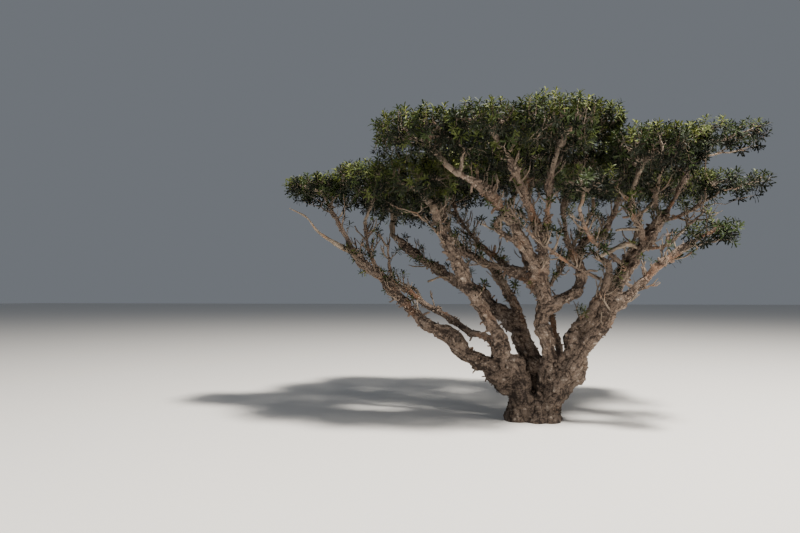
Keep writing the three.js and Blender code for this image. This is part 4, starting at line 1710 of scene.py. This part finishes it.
# Painted light and shade: one leaf colour, lighter for sunlit tufts and darker for shaded ones
LEAF_FINISHES = (
    LeafFinish(LeafTone.GOLDEN, (0.132, 0.154, 0.03), 0.18),
    LeafFinish(LeafTone.OLIVE, (0.069, 0.088, 0.02), 0.18),
    LeafFinish(LeafTone.GREEN, (0.028, 0.043, 0.012), 0.18),
    LeafFinish(LeafTone.SHADED, (0.010, 0.015, 0.006), 0.2),
    LeafFinish(LeafTone.DEEP, (0.003, 0.005, 0.002), 0.1),
)


@dataclass(frozen=True)
class LeafShape:
    """One feathered leaf, in metres: a blade folded on its midrib, with a tooth for each leaflet.

    The teeth stand on a stretch of it, each in its own part of that stretch with a notch after it. Their
    width follows the belly: a part of half a turn of a sine, raised to a power.
    """

    long: float
    wide: float
    pairs: int = 2
    teeth_from: float = 0.08
    teeth_long: float = 0.86
    tooth_at: float = 0.75
    notch_after: float = 0.25
    notch: float = 0.58
    belly: Pair = (0.16, 0.72)
    belly_power: float = 0.6
    arch: float = 0.22
    fold: float = 0.3

    def corners(self) -> tuple[Array, Array]:
        """Draws the leaf along +X with its face up.

        Returns:
            Its corners and its triangles.
        """
        middle = self.point(0.0, 0.0), self.point(0.5, 0.0), self.point(1.0, 0.0)
        points, faces = [*middle], []
        for side in (-1, 1):
            edge = []
            for i in range(self.pairs):
                at = self.teeth_from + self.teeth_long * (i + self.tooth_at) / self.pairs
                turn = math.pi * (self.belly[0] + self.belly[1] * at)
                half = side * self.wide / 2 * math.sin(turn) ** self.belly_power
                edge.append(self.point(at, half))
                if i < self.pairs - 1:
                    edge.append(self.point(at + self.notch_after / self.pairs, half * self.notch))
            first = len(points)
            points += edge
            last = first + len(edge) - 1
            half_way = first + len(edge) // 2
            rows = [(0, i, i + 1) for i in range(first, half_way)] + [(0, half_way, 1)]
            rows += [(1, i, i + 1) for i in range(half_way, last)] + [(1, last, 2)]
            faces += rows if side < 0 else [(a, c, b) for a, b, c in rows]
        return np.array(points), np.array(faces)

    def point(self, share: float, across: float) -> Array:
        """Gives the place at a share of the blade's length, so far across its midrib."""
        rise = self.fold * abs(across) - self.arch * self.long * share**2
        return np.array([share * self.long, across, rise])


@dataclass(frozen=True)
class SprayShape:
    """A tuft of leaves round the last stretch of a twig, in metres and degrees.

    The innermost leaf is the smallest and stands the steepest. The sways are the least and the most that
    a seeded number makes of a leaf's tilt, turn, roll, size and arch.
    """

    leaves: int
    leaf: LeafShape
    shank: float = 0.10
    nearest_tilt: float = 14.0
    widest_tilt: float = 96.0
    tilt_power: float = 0.6
    inner_size: float = 0.62
    least_width: float = 0.75
    tilt_sway: Pair = (-9, 9)
    turn_sway: Pair = (-0.25, 0.25)
    size_sway: Pair = (0.85, 1.12)
    arch_sway: Pair = (0.2, 1.7)
    roll_sway: Pair = (-0.5, 0.5)

    def mesh(self, name: str, seed: int) -> Mesh:
        """Makes the tuft round +Z, with its root at the origin.

        Args:
            name: the mesh's name.
            seed: which tuft.

        Returns:
            The tuft's mesh.
        """
        rng = np.random.default_rng(seed)
        shell = Shell()
        for k in range(self.leaves):
            share = (k + 0.5) / self.leaves
            opening = self.nearest_tilt + (self.widest_tilt - self.nearest_tilt) * share**self.tilt_power
            tilt = math.radians(opening + rng.uniform(*self.tilt_sway))
            turn = k * GOLDEN_ANGLE + rng.uniform(*self.turn_sway)
            size = self.inner_size + (1 - self.inner_size) * math.sqrt(share)
            size *= rng.uniform(*self.size_sway)
            shape = LeafShape(
                long=self.leaf.long * size,
                wide=self.leaf.wide * (self.least_width + (1 - self.least_width) * size),
                arch=self.leaf.arch * rng.uniform(*self.arch_sway),
            )
            points, faces = shape.corners()
            place = (
                Matrix.Translation((0, 0, -self.shank * share))
                @ Matrix.Rotation(turn, 4, "Z")
                @ Matrix.Rotation(tilt - math.pi / 2, 4, "Y")
                @ Matrix.Rotation(rng.uniform(*self.roll_sway), 4, "X")
            )
            matrix = np.array(place)
            shell.add(points @ matrix[:3, :3].T + matrix[:3, 3], faces)
        return shell.mesh(name)


# Five full tufts for the crown, then two small ones for the shoots along the limbs
SPRAY_SHAPES = (
    SprayShape(13, LeafShape(0.092, 0.023), shank=0.08),
    SprayShape(14, LeafShape(0.084, 0.021), shank=0.10, widest_tilt=86),
    SprayShape(12, LeafShape(0.100, 0.024), shank=0.08, widest_tilt=104),
    SprayShape(12, LeafShape(0.090, 0.025), shank=0.07, widest_tilt=80),
    SprayShape(14, LeafShape(0.086, 0.022), shank=0.12, widest_tilt=98),
    SprayShape(9, LeafShape(0.084, 0.022), shank=0.05, widest_tilt=92),
    SprayShape(8, LeafShape(0.096, 0.023), shank=0.06, widest_tilt=84),
)


@dataclass(frozen=True)
class Spray:
    """One tuft of leaves: its root in millimetres, the way that it faces, its size, where 1 is a full tuft,
    and the numbers of its tone and of its shape."""

    root: Array
    line: Array
    size: float
    tone: int
    kind: int


def spray_points(sprays: list[Spray], seed: int) -> Mesh:
    """Makes the points that the node tree places tufts on.

    Args:
        sprays: the tufts.
        seed: the seed for their turns.

    Returns:
        A mesh of loose points with what each needs.
    """
    rng = np.random.default_rng(seed)
    mesh = bpy.data.meshes.new("spray_points")
    mesh.vertices.add(len(sprays))
    roots = np.array([spray.root for spray in sprays]) * MM
    mesh.vertices.foreach_set("co", roots.astype(np.float32).ravel())
    turns = []
    for spray in sprays:
        spin = Matrix.Rotation(rng.uniform(0, 2 * math.pi), 3, "Z")
        turns.append((Vector(spray.line).to_track_quat("Z", "Y").to_matrix() @ spin).to_euler())
    facing = mesh.attributes.new("facing", "FLOAT_VECTOR", "POINT")
    facing.data.foreach_set("vector", np.array(turns, dtype=np.float32).ravel())
    set_values(mesh, "size", np.array([spray.size for spray in sprays]))
    for name in ("tone", "kind"):
        numbers = [getattr(spray, name) for spray in sprays]
        attribute = mesh.attributes.new(name, "INT", "POINT")
        attribute.data.foreach_set("value", np.array(numbers, dtype=np.int32))
    return mesh


@dataclass
class SprayDealer:
    """Places tufts of leaves on points by a node tree and deals out their tones."""

    shapes: tuple[SprayShape, ...]
    materials: list[Material]
    first_seed: int = 41
    kinds: list[Mesh] = field(init=False)
    tree: NodeTree = field(init=False)

    def __post_init__(self) -> None:
        """Makes the kinds of tuft and builds the node tree, which every mass shares."""
        shapes = enumerate(self.shapes)
        self.kinds = [shape.mesh(f"spray_kind_{i}", self.first_seed + i) for i, shape in shapes]
        inputs = {"Geometry": "Geometry", "Samples": "Collection"}
        inputs |= {material.name: "Material" for material in self.materials}
        self.tree = new_tree("place_sprays", "GeometryNodeTree", inputs, {"Geometry": "Geometry"})
        wires = Wiring(self.tree)
        given = wires.node("NodeGroupInput").outputs

        def stored(name: str, kind: str) -> NodeSocket:
            """Reads an attribute of the points."""
            made = wires.node("GeometryNodeInputNamedAttribute", {"Name": name}, data_type=kind)
            return made.outputs["Attribute"]

        geometry = wires.placed(
            given["Samples"],
            given["Geometry"],
            stored("kind", "INT"),
            stored("facing", "FLOAT_VECTOR"),
            stored("size", "FLOAT"),
        )
        for number, material in enumerate(self.materials):
            pair = dict(zip(COMPARED_INTS, (stored("tone", "INT"), number)))
            same = wires.node("FunctionNodeCompare", pair, data_type="INT", operation="EQUAL")
            geometry = wires.finished(geometry, given[material.name], same.outputs["Result"])
        wires.node("NodeGroupOutput", {"Geometry": geometry})

    def deal(self, name: str, sprays: list[Spray], seed: int) -> Mesh:
        """Makes one joined mesh of all the tufts.

        Args:
            name: the mesh's name.
            sprays: where they stand.
            seed: the seed for their turns.

        Returns:
            The mesh.
        """
        points = spray_points(sprays, seed)
        finishes = {material.name: material for material in self.materials}
        mesh = run_tree(name, points, self.tree, finishes, self.kinds)
        bpy.data.meshes.remove(points)
        drop_values(mesh, "tone", "kind", "size", "facing")
        return mesh

    def shank(self, kind: int) -> float:
        """Tells how much of its twig a kind of tuft covers, in millimetres."""
        return self.shapes[kind].shank / MM

    def clear(self) -> None:
        """Removes the kinds of tuft once all have been dealt out."""
        for kind in self.kinds:
            bpy.data.meshes.remove(kind)


@dataclass
class Twigs:
    """All the twigs, as crooked tapering tubes in a few meshes.

    A twig is thick, middling or thin, by its half-thickness in millimetres, which settles how many sides
    it has. The relief and the youth are what the bark's finish reads: a level, and a noise that moves it.
    """

    tubes: list[tuple[Array, Array]] = field(default_factory=list)
    crook: float = 0.13
    bow: float = 0.09
    thick_from: float = 11.0
    thin_below: float = 6.6
    thick_sides: int = 7
    middle_sides: int = 4
    thin_sides: int = 3
    stretch: float = 100.0
    fewest_steps: int = 2
    thin_steps: int = 3
    most_steps: int = 6
    swelling: Pair = (0.88, 1.18)
    shank_end: float = 0.45
    relief: tuple[float, BarkNoise] = (0.5, BarkNoise(7, 30.0, 0.4))
    youth: tuple[float, BarkNoise] = (0.6, BarkNoise(8, 5.0, 0.5))
    pieces: int = 2

    def add(self, start: Array, end: Array, half: float, end_half: float, rng: np.random.Generator) -> None:
        """Adds a twig, which sags a little and bends at every stretch.

        Args:
            start: its foot, in millimetres.
            end: its tip.
            half: its half-thickness at its foot.
            end_half: its half-thickness at its tip.
            rng: the numbers for its bends.
        """
        long = float(np.linalg.norm(end - start))
        sides, most = self.thin_sides, self.thin_steps
        if half > self.thin_below:
            sides = self.thick_sides if half > self.thick_from else self.middle_sides
            most = self.most_steps
        steps = int(np.clip(round(long / self.stretch), self.fewest_steps, most))
        shares = np.linspace(0, 1, steps + 1)
        sag = 4 * shares * (1 - shares) * self.bow * long
        path = start + np.outer(shares, end - start) - np.outer(sag, UP)
        path[1:-1] += rng.uniform(-1, 1, (steps - 1, 3)) * self.crook * long / steps**0.5
        halves = half + (end_half - half) * shares
        halves[1:-1] *= rng.uniform(*self.swelling, steps - 1)
        self.tubes.append(tube(path, halves, sides, rng.uniform(0, 1)))

    def add_last(self, start: Array, bend: Array, end: Array, half: float, tip: float) -> None:
        """Adds a last twig from its foot to a bend, and straight on to its tip."""
        halves = np.array([half, tip, tip * self.shank_end])
        self.tubes.append(tube(np.array([start, bend, end]), halves, self.thin_sides))

    def build(self) -> list[Object]:
        """Makes the pieces.

        Returns:
            The twigs, from the left of the crown to its right, with the shoots in the last.
        """
        material = TWIG_BARK.material()
        pieces = []
        bounds = np.linspace(0, len(self.tubes), self.pieces + 1).astype(int)
        for number, (first, last) in enumerate(zip(bounds[:-1], bounds[1:])):
            shell = Shell()
            for corners, faces in self.tubes[first:last]:
                shell.add(corners * MM, faces)
            mesh = shell.mesh(f"twigs_{number + 1}")
            corners = corners_of(mesh)
            for name, (level, noise) in (("relief", self.relief), ("youth", self.youth)):
                values = level + noise.at(corners) * noise.height
                set_values(mesh, name, np.clip(values, 0, 1))
            mesh.materials.append(material)
            pieces.append(show(mesh, smooth=True))
        return pieces


@dataclass(frozen=True)
class TwigRoot:
    """A place that a mass's twigs grow from: its bough's tip, or the upper side of a limb under it."""

    place: Array
    half: float


@dataclass(frozen=True)
class Growth:
    """One mass while its twigs grow: its space, its tufts so far, and the numbers for small moves."""

    space: Space
    sprays: list[Spray]
    rng: np.random.Generator


@dataclass
class Foliage:
    """The masses of leaves: twigs from the bough's tip and the limbs near it, with tufts at their ends.

    Lengths are in millimetres. The layers are heights in a mass, from -1 to 1, that its tufts take in
    turn. The neck is the short stretch from inside the bough's tip to the first fork, in shares of the
    bough's half-thickness there. A tuft turns on along its twig, outwards and up by the shares given.
    """

    limbs: dict[str, Limb]
    boxes: dict[str, tuple[Vector, Vector]]
    twigs: Twigs
    dealer: SprayDealer
    dense_per_m2: float = 200.0
    open_per_m2: float = 80.0
    layers: Numbers = (0.96, -0.05, 0.8, -0.5, 0.92, 0.3, -0.8, 0.7, -0.3, 0.98, 0.55, -0.65)
    open_layers: Numbers = (0.85, 0.3, -0.35, 0.6, 0.0, 0.95, -0.65)
    layer_sway: float = 0.2
    low_sway: float = 0.34
    middle_tone: float = 2.2
    tone_fall: float = 1.9
    tone_sway: float = 1.1
    sunlit_from: float = 0.35
    inset: Triple = (50.0, 50.0, 40.0)
    dome: float = 0.8
    fork_share: float = 0.5
    sag: float = 0.1
    twig_half: float = 4.6
    twig_power: float = 0.47
    twig_end: float = 0.6
    least_share: float = 0.74
    onward: float = 0.7
    outward: float = 0.6
    upward: float = 0.5
    upward_below: float = 0.1
    stray: float = 0.25
    turn_sway: float = 0.2
    neck_sunk: float = 0.5
    neck_long: float = 1.6
    neck_halves: Pair = (0.97, 0.8)
    neck_twig: float = 0.85
    room_to_limbs: float = 40.0
    box_inset: float = 55.0
    size: Pair = (0.82, 1.18)
    full_kinds: int = 5
    side_roots: int = 6
    root_spacing: float = 210.0
    root_reach: float = 1.05
    root_drop: Pair = (0.35, 1150.0)
    root_halves: Pair = (18.0, 80.0)
    root_twig: float = 0.62
    root_room: float = 120.0
    cost_below: float = 4.0
    cost_of_roots: float = 1.08
    fewest_tips: int = 4
    first_seed: int = 900
    turn_seed: int = 300

    def build(self) -> list[Object]:
        """Makes the leaves of every mass, and adds their twigs.

        Returns:
            The leaf pieces.
        """
        spaces = [Space(plan) for plan in MASS_PLANS]
        for space in spaces:
            for other in spaces:
                if other is not space:
                    space.fence_from(other)
        living = [limb for limb in self.limbs.values() if limb.name not in DEAD_LIMBS]
        skin = np.vstack([limb.path for limb in living])
        halves = np.concatenate([limb.halves for limb in living])
        pieces = []
        for number, (plan, space) in enumerate(zip(MASS_PLANS, spaces)):
            rng = np.random.default_rng(self.first_seed + number)
            tips = self.tips(plan, space, rng)
            gap = np.sqrt(((tips[:, None] - skin[None]) ** 2).sum(2)) - halves[None]
            tips = tips[gap.min(axis=1) > self.room_to_limbs]
            sprays: list[Spray] = []
            bough = self.limbs[plan.bough]
            half = bough.halves[-1]
            start = bough.tip - bough.heading * half * self.neck_sunk
            neck = bough.tip + bough.heading * self.neck_long * half
            self.twigs.add(start, neck, *(half * share for share in self.neck_halves), rng)
            roots = [TwigRoot(neck, half * self.neck_twig)]
            roots += self.limb_roots(skin, halves, space, neck)
            for root, group in zip(roots, self.shared_out(tips, roots)):
                if len(group):
                    self.branch(root.place, group, root.half, Growth(space, sprays, rng))
            name = plan.name.replace("_leaves", "_foliage")
            mesh = self.dealer.deal(name, sprays, self.turn_seed + number)
            LOG.info("%s: %d tufts from %d places", plan.name, len(sprays), len(roots))
            pieces.append(show(mesh, (plan.name,)))
        return pieces

    def tips(self, plan: MassPlan, space: Space, rng: np.random.Generator) -> Array:
        """Finds the places of a mass's tufts: a sunflower spiral in plan, at heights taken in turn.

        Args:
            plan: the mass's place.
            space: its space.
            rng: the numbers for small moves.

        Returns:
            The places, one row each.
        """
        area = math.pi * plan.half[0] * plan.half[1] * MM * MM
        count = round(area * (self.dense_per_m2 if plan.dense else self.open_per_m2))
        k = np.arange(count)
        out = np.sqrt((k + 0.5) / count)
        turn = k * GOLDEN_ANGLE + rng.uniform(-self.turn_sway, self.turn_sway, count)
        layers = np.array(self.layers if plan.dense else self.open_layers)
        layer = layers[k % len(layers)]
        sway = np.where(layer < 0, self.low_sway, self.layer_sway)
        layer = layer + sway * rng.uniform(-1, 1, count)
        rise = np.sqrt(1 - self.dome * out**2) * layer
        spots = np.stack([out * np.cos(turn), out * np.sin(turn), rise], 1)
        places, share = space.pulled_in(spots * (space.half - self.inset) + space.middle)
        places = places[share > self.least_share]
        low, high = (np.array(corner) / MM for corner in self.boxes[plan.name])
        return np.clip(places, low + self.box_inset, high - self.box_inset)

    def limb_roots(self, skin: Array, halves: Array, space: Space, neck: Array) -> list[TwigRoot]:
        """Picks places on the limbs under a mass, as far from one another as they can be.

        Args:
            skin: places on the living limbs' middle lines.
            halves: the half-thickness at each.
            space: the mass's space.
            neck: where the mass's own bough ends.

        Returns:
            Up to side_roots places.
        """
        way = (skin - space.middle) / space.half
        under = space.middle[2] - skin[:, 2]
        fits = (np.hypot(way[:, 0], way[:, 1]) < self.root_reach) & (way[:, 2] < -self.root_drop[0])
        fits &= (halves > self.root_halves[0]) & (halves < self.root_halves[1])
        fits &= under < self.root_drop[1]
        places, thick = skin[fits], halves[fits]
        chosen, roots = [neck], []
        while len(places) and len(roots) < self.side_roots:
            apart = np.min([np.linalg.norm(places - other, axis=1) for other in chosen], axis=0)
            best = int(np.argmax(apart))
            if apart[best] < self.root_spacing:
                break
            chosen.append(places[best])
            roots.append(TwigRoot(places[best], thick[best] * self.root_twig))
        return roots

    def shared_out(self, tips: Array, roots: list[TwigRoot]) -> list[Array]:
        """Shares a mass's tips out among the places that twigs grow from.

        Args:
            tips: the tips.
            roots: the places, the bough's tip first.

        Returns:
            The tips of each place. A place that would have very few gives them to the bough's tip.
        """
        way = tips[:, None] - np.array([root.place for root in roots])[None]
        too_low = np.maximum(0, self.root_room - way[:, :, 2])
        cost = np.linalg.norm(way, axis=2) + too_low * self.cost_below
        cost[:, 1:] *= self.cost_of_roots
        owner = np.argmin(cost, axis=1)
        for i in range(1, len(roots)):
            if (owner == i).sum() < self.fewest_tips:
                owner[owner == i] = 0
        return [tips[owner == i] for i in range(len(roots))]

    def branch(self, start: Array, tips: Array, half: float, mass: Growth) -> None:
        """Grows the twigs from one place to all its tips, each forking in two on the way.

        Args:
            start: where the first twig starts.
            tips: the places that it leads to.
            half: the half-thickness of what it grows from.
            mass: the mass, whose tufts it adds to.
        """
        last = len(tips) == 1
        end = tips[0] if last else start + (tips.mean(axis=0) - start) * self.fork_share
        long = float(np.linalg.norm(end - start))
        if not last:
            end = end - UP * self.sag * long
        foot = min(half, self.twig_half * len(tips) ** self.twig_power)
        if last:
            self.end_twig(start, end, foot, mass)
            return
        tip = min(foot, self.twig_half * (len(tips) / 2) ** self.twig_power)
        self.twigs.add(start, end, foot, tip, mass.rng)
        spread = tips.max(axis=0) - tips.min(axis=0)
        order = np.argsort(tips[:, 0 if spread[0] > spread[1] else 1], kind="stable")
        middle = math.ceil(len(tips) / 2)
        for group in (order[:middle], order[middle:]):
            self.branch(end, tips[group], tip, mass)

    def end_twig(self, start: Array, end: Array, foot: float, mass: Growth) -> None:
        """Grows a last twig, which turns outwards and up, with its tuft.

        Args:
            start: where it starts.
            end: its tip.
            foot: its half-thickness at its foot.
            mass: the mass, whose tufts it adds to.
        """
        space, rng = mass.space, mass.rng
        way = (end - space.middle) / space.half
        lift = self.upward if way[2] > 0 else self.upward_below
        line = unit(end - start) * self.onward + way * self.outward + UP * lift
        line = unit(line + rng.uniform(-self.stray, self.stray, 3))
        size = rng.uniform(*self.size)
        kind = int(rng.integers(0, self.full_kinds))
        bend = end - line * self.dealer.shank(kind) * size
        tip = self.twig_half * self.twig_end
        self.twigs.add_last(start, bend, end, foot, tip)
        # Painted light and shade: higher tufts get lighter tones and lower ones darker, with a random sway
        shade = self.middle_tone - self.tone_fall * float(way[2]) + rng.normal(0, self.tone_sway)
        if way[2] < self.sunlit_from:
            shade = max(shade, LeafTone.OLIVE.value)
        mass.sprays.append(Spray(end, line, size, LeafTone.dealt(shade + space.shade), kind))


@dataclass
class Shoots:
    """Side shoots along the limbs: some fork and carry small tufts, and some are bare.

    Lengths are in millimetres. A shoot leaves its limb sideways, onward and up, and its ends turn up and
    onward again. The halves are the half-thickness at the fork, and at the foot and tip of what follows,
    over that at the shoot's foot. The foot lies at foot_at of the way from the limb's middle to its bark,
    and the fork at fork_at of the shoot's length.
    """

    limbs: dict[str, Limb]
    twigs: Twigs
    dealer: SprayDealer
    every: float = 74.0
    thickest: float = 80.0
    long: Pair = (50.0, 260.0)
    forked_from: float = 130.0
    reach: Pair = (0.3, 0.97)
    outward: float = 0.72
    leafy_share: float = 0.5
    sizes: Pair = (0.7, 1.1)
    usual_tone: float = 2.1
    tone_sway: float = 0.9
    small_kinds: tuple[int, int] = (5, 7)
    onward: float = 0.45
    upward: float = 0.5
    foot_at: float = 0.5
    fork_at: float = 0.5
    forks: tuple[int, int] = (2, 4)
    slimness: float = 18.0
    half: Pair = (5.0, 13.0)
    stray: float = 0.12
    halves: Triple = (0.75, 0.7, 0.4)
    end_upward: float = 0.6
    end_onward: float = 0.3
    end_stray: float = 0.55
    end_long: Triple = (35.0, 0.3, 0.55)
    first_seed: int = 700
    turn_seed: int = 77

    def build(self) -> Object:
        """Makes the shoots.

        Returns:
            The piece that holds their leaves.
        """
        sprays: list[Spray] = []
        for limb in self.limbs.values():
            if limb.name in DEAD_LIMBS:
                continue
            rng = np.random.default_rng(self.first_seed + limb.seed)
            for _ in range(round(limb.plan.long / self.every)):
                self.grow(limb, rng, sprays)
        mesh = self.dealer.deal("shoot_leaves", sprays, self.turn_seed)
        return show(mesh)

    def grow(self, limb: Limb, rng: np.random.Generator, sprays: list[Spray]) -> None:
        """Grows one shoot from the side of a limb.

        Args:
            limb: the limb.
            rng: the numbers for its place and size.
            sprays: the tufts, which it may add to.
        """
        share = self.reach[0] + (self.reach[1] - self.reach[0]) * rng.uniform() ** self.outward
        at = int(share * (len(limb.path) - 1))
        length = rng.uniform(*self.long)
        leafy = rng.uniform() < self.leafy_share
        turn = rng.uniform(0, 2 * math.pi)
        if limb.halves[at] > self.thickest:
            return
        line = unit(limb.path[min(at + 1, len(limb.path) - 1)] - limb.path[at - 1])
        side = unit(np.cross(line, SIDEWAYS if abs(line[0]) < NEARLY_ALONG else UP))
        across = np.cross(line, side)
        way = side * math.cos(turn) + across * math.sin(turn) + line * self.onward + UP * self.upward
        way = unit(way)
        half = float(np.clip(length / self.slimness, *self.half))
        at_fork, at_foot, at_tip = (half * share for share in self.halves)
        foot = limb.path[at] + way * limb.halves[at] * self.foot_at
        stray = rng.uniform(-self.stray, self.stray, 3) * length
        bend = foot + way * (length * self.fork_at + limb.halves[at] * (1 - self.foot_at)) + stray
        self.twigs.add(foot, bend, half, at_fork, rng)
        least, *shares = self.end_long
        for _ in range(1 if length < self.forked_from else rng.integers(*self.forks)):
            turned = way + UP * self.end_upward + line * self.end_onward
            turned = unit(turned + rng.uniform(-self.end_stray, self.end_stray, 3))
            end = bend + turned * (least + length * rng.uniform(*shares))
            self.twigs.add(bend, end, at_foot, at_tip, rng)
            if leafy:
                kind = int(rng.integers(*self.small_kinds))
                tone = LeafTone.dealt(rng.normal(self.usual_tone, self.tone_sway))
                sprays.append(Spray(end, turned, rng.uniform(*self.sizes), tone, kind))


# The studio


@dataclass(frozen=True)
class Lamp:
    """One soft light that points at the middle of the tree, in metres and watts."""

    name: str
    place: Triple
    size: float
    power: float
    colour: Triple
    aim: Triple = (0.0, 0.0, 2.4)

    def build(self) -> None:
        """Makes the light."""
        data = bpy.data.lights.new(self.name, "AREA")
        data.size = self.size
        data.energy = self.power
        data.color = self.colour
        lamp = bpy.data.objects.new(self.name, data)
        lamp.location = self.place
        lamp.rotation_euler = (Vector(self.aim) - Vector(self.place)).to_track_quat("-Z", "Y").to_euler()
        bpy.context.scene.collection.objects.link(lamp)


# A high key light from the right, a low one under the crown, and a weak fill
LAMPS = (
    Lamp("key", (8.5, -5.8, 20.4), 2.6, 15500, (1.0, 0.95, 0.87)),
    Lamp("side", (8.0, -6.0, 2.2), 1.8, 270, (1.0, 0.93, 0.84)),
    Lamp("fill", (-7.0, -9.0, 4.0), 5.0, 115, (0.88, 0.94, 1.0)),
)


@dataclass(frozen=True)
class Studio:
    """A pale floor, soft light, and the camera where the photographer stood."""

    eye: Triple = (0.0, -8.2, 1.6)
    turn_left: float = 12.5
    look_up: float = 3.0
    lens: float = 27.0
    sensor: float = 36.0
    floor_size: float = 300.0
    floor_drop: float = 0.002
    floor_colour: Triple = (0.74, 0.72, 0.69)
    floor_roughness: float = 0.9
    floor_shine: float = 0.5
    sky_colour: Triple = (0.80, 0.87, 0.97)
    sky_strength: float = 0.2

    def build(self) -> None:
        """Makes the camera, the floor, the lights and the pale sky."""
        camera = bpy.data.objects.new("camera", bpy.data.cameras.new("camera"))
        camera.data.lens = self.lens
        camera.data.sensor_width = self.sensor
        camera.location = self.eye
        camera.rotation_euler = (math.radians(90 + self.look_up), 0, math.radians(self.turn_left))
        bpy.context.scene.collection.objects.link(camera)
        bpy.context.scene.camera = camera
        self.floor()
        for lamp in LAMPS:
            lamp.build()
        world = bpy.data.worlds.new("studio")
        world.use_nodes = True
        sky = world.node_tree.nodes["Background"]
        sky.inputs["Color"].default_value = (*self.sky_colour, 1)
        sky.inputs["Strength"].default_value = self.sky_strength
        bpy.context.scene.world = world

    def floor(self) -> None:
        """Makes the floor."""
        half = self.floor_size / 2
        corners = np.array([[-half, -half, 0], [half, -half, 0], [half, half, 0], [-half, half, 0]])
        mesh = mesh_of("floor", corners - UP * self.floor_drop, np.array([[0, 1, 2, 3]]))
        material, shader = plain_material("pale_floor", self.floor_roughness, self.floor_shine)
        shader.inputs["Base Color"].default_value = (*self.floor_colour, 1)
        mesh.materials.append(material)
        floor = bpy.data.objects.new("floor", mesh)
        bpy.context.scene.collection.objects.link(floor)


def grown_limbs() -> dict[str, Limb]:
    """Grows every limb in the frame's order.

    Returns:
        The limbs by name.
    """
    limbs: dict[str, Limb] = {}
    for seed, plan in enumerate(LIMB_PLANS):
        limbs[plan.name] = Limb(plan, limbs.get(plan.grows_from), seed)
    return limbs


def main() -> None:
    """Builds the tree and the studio."""
    logging.basicConfig(level=logging.INFO, format="%(message)s")
    Studio().build()
    limbs = grown_limbs()
    *living_skins, _ = Wood(limbs).build()
    BarkDetail().build(living_skins)
    dealer = SprayDealer(SPRAY_SHAPES, [finish.material() for finish in LEAF_FINISHES])
    twigs = Twigs()
    boxes = {plan.name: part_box(plan.name) for plan in MASS_PLANS}
    Foliage(limbs, boxes, twigs, dealer).build()
    Shoots(limbs, twigs, dealer).build()
    twigs.build()
    dealer.clear()


if __name__ == "__main__":
    main()
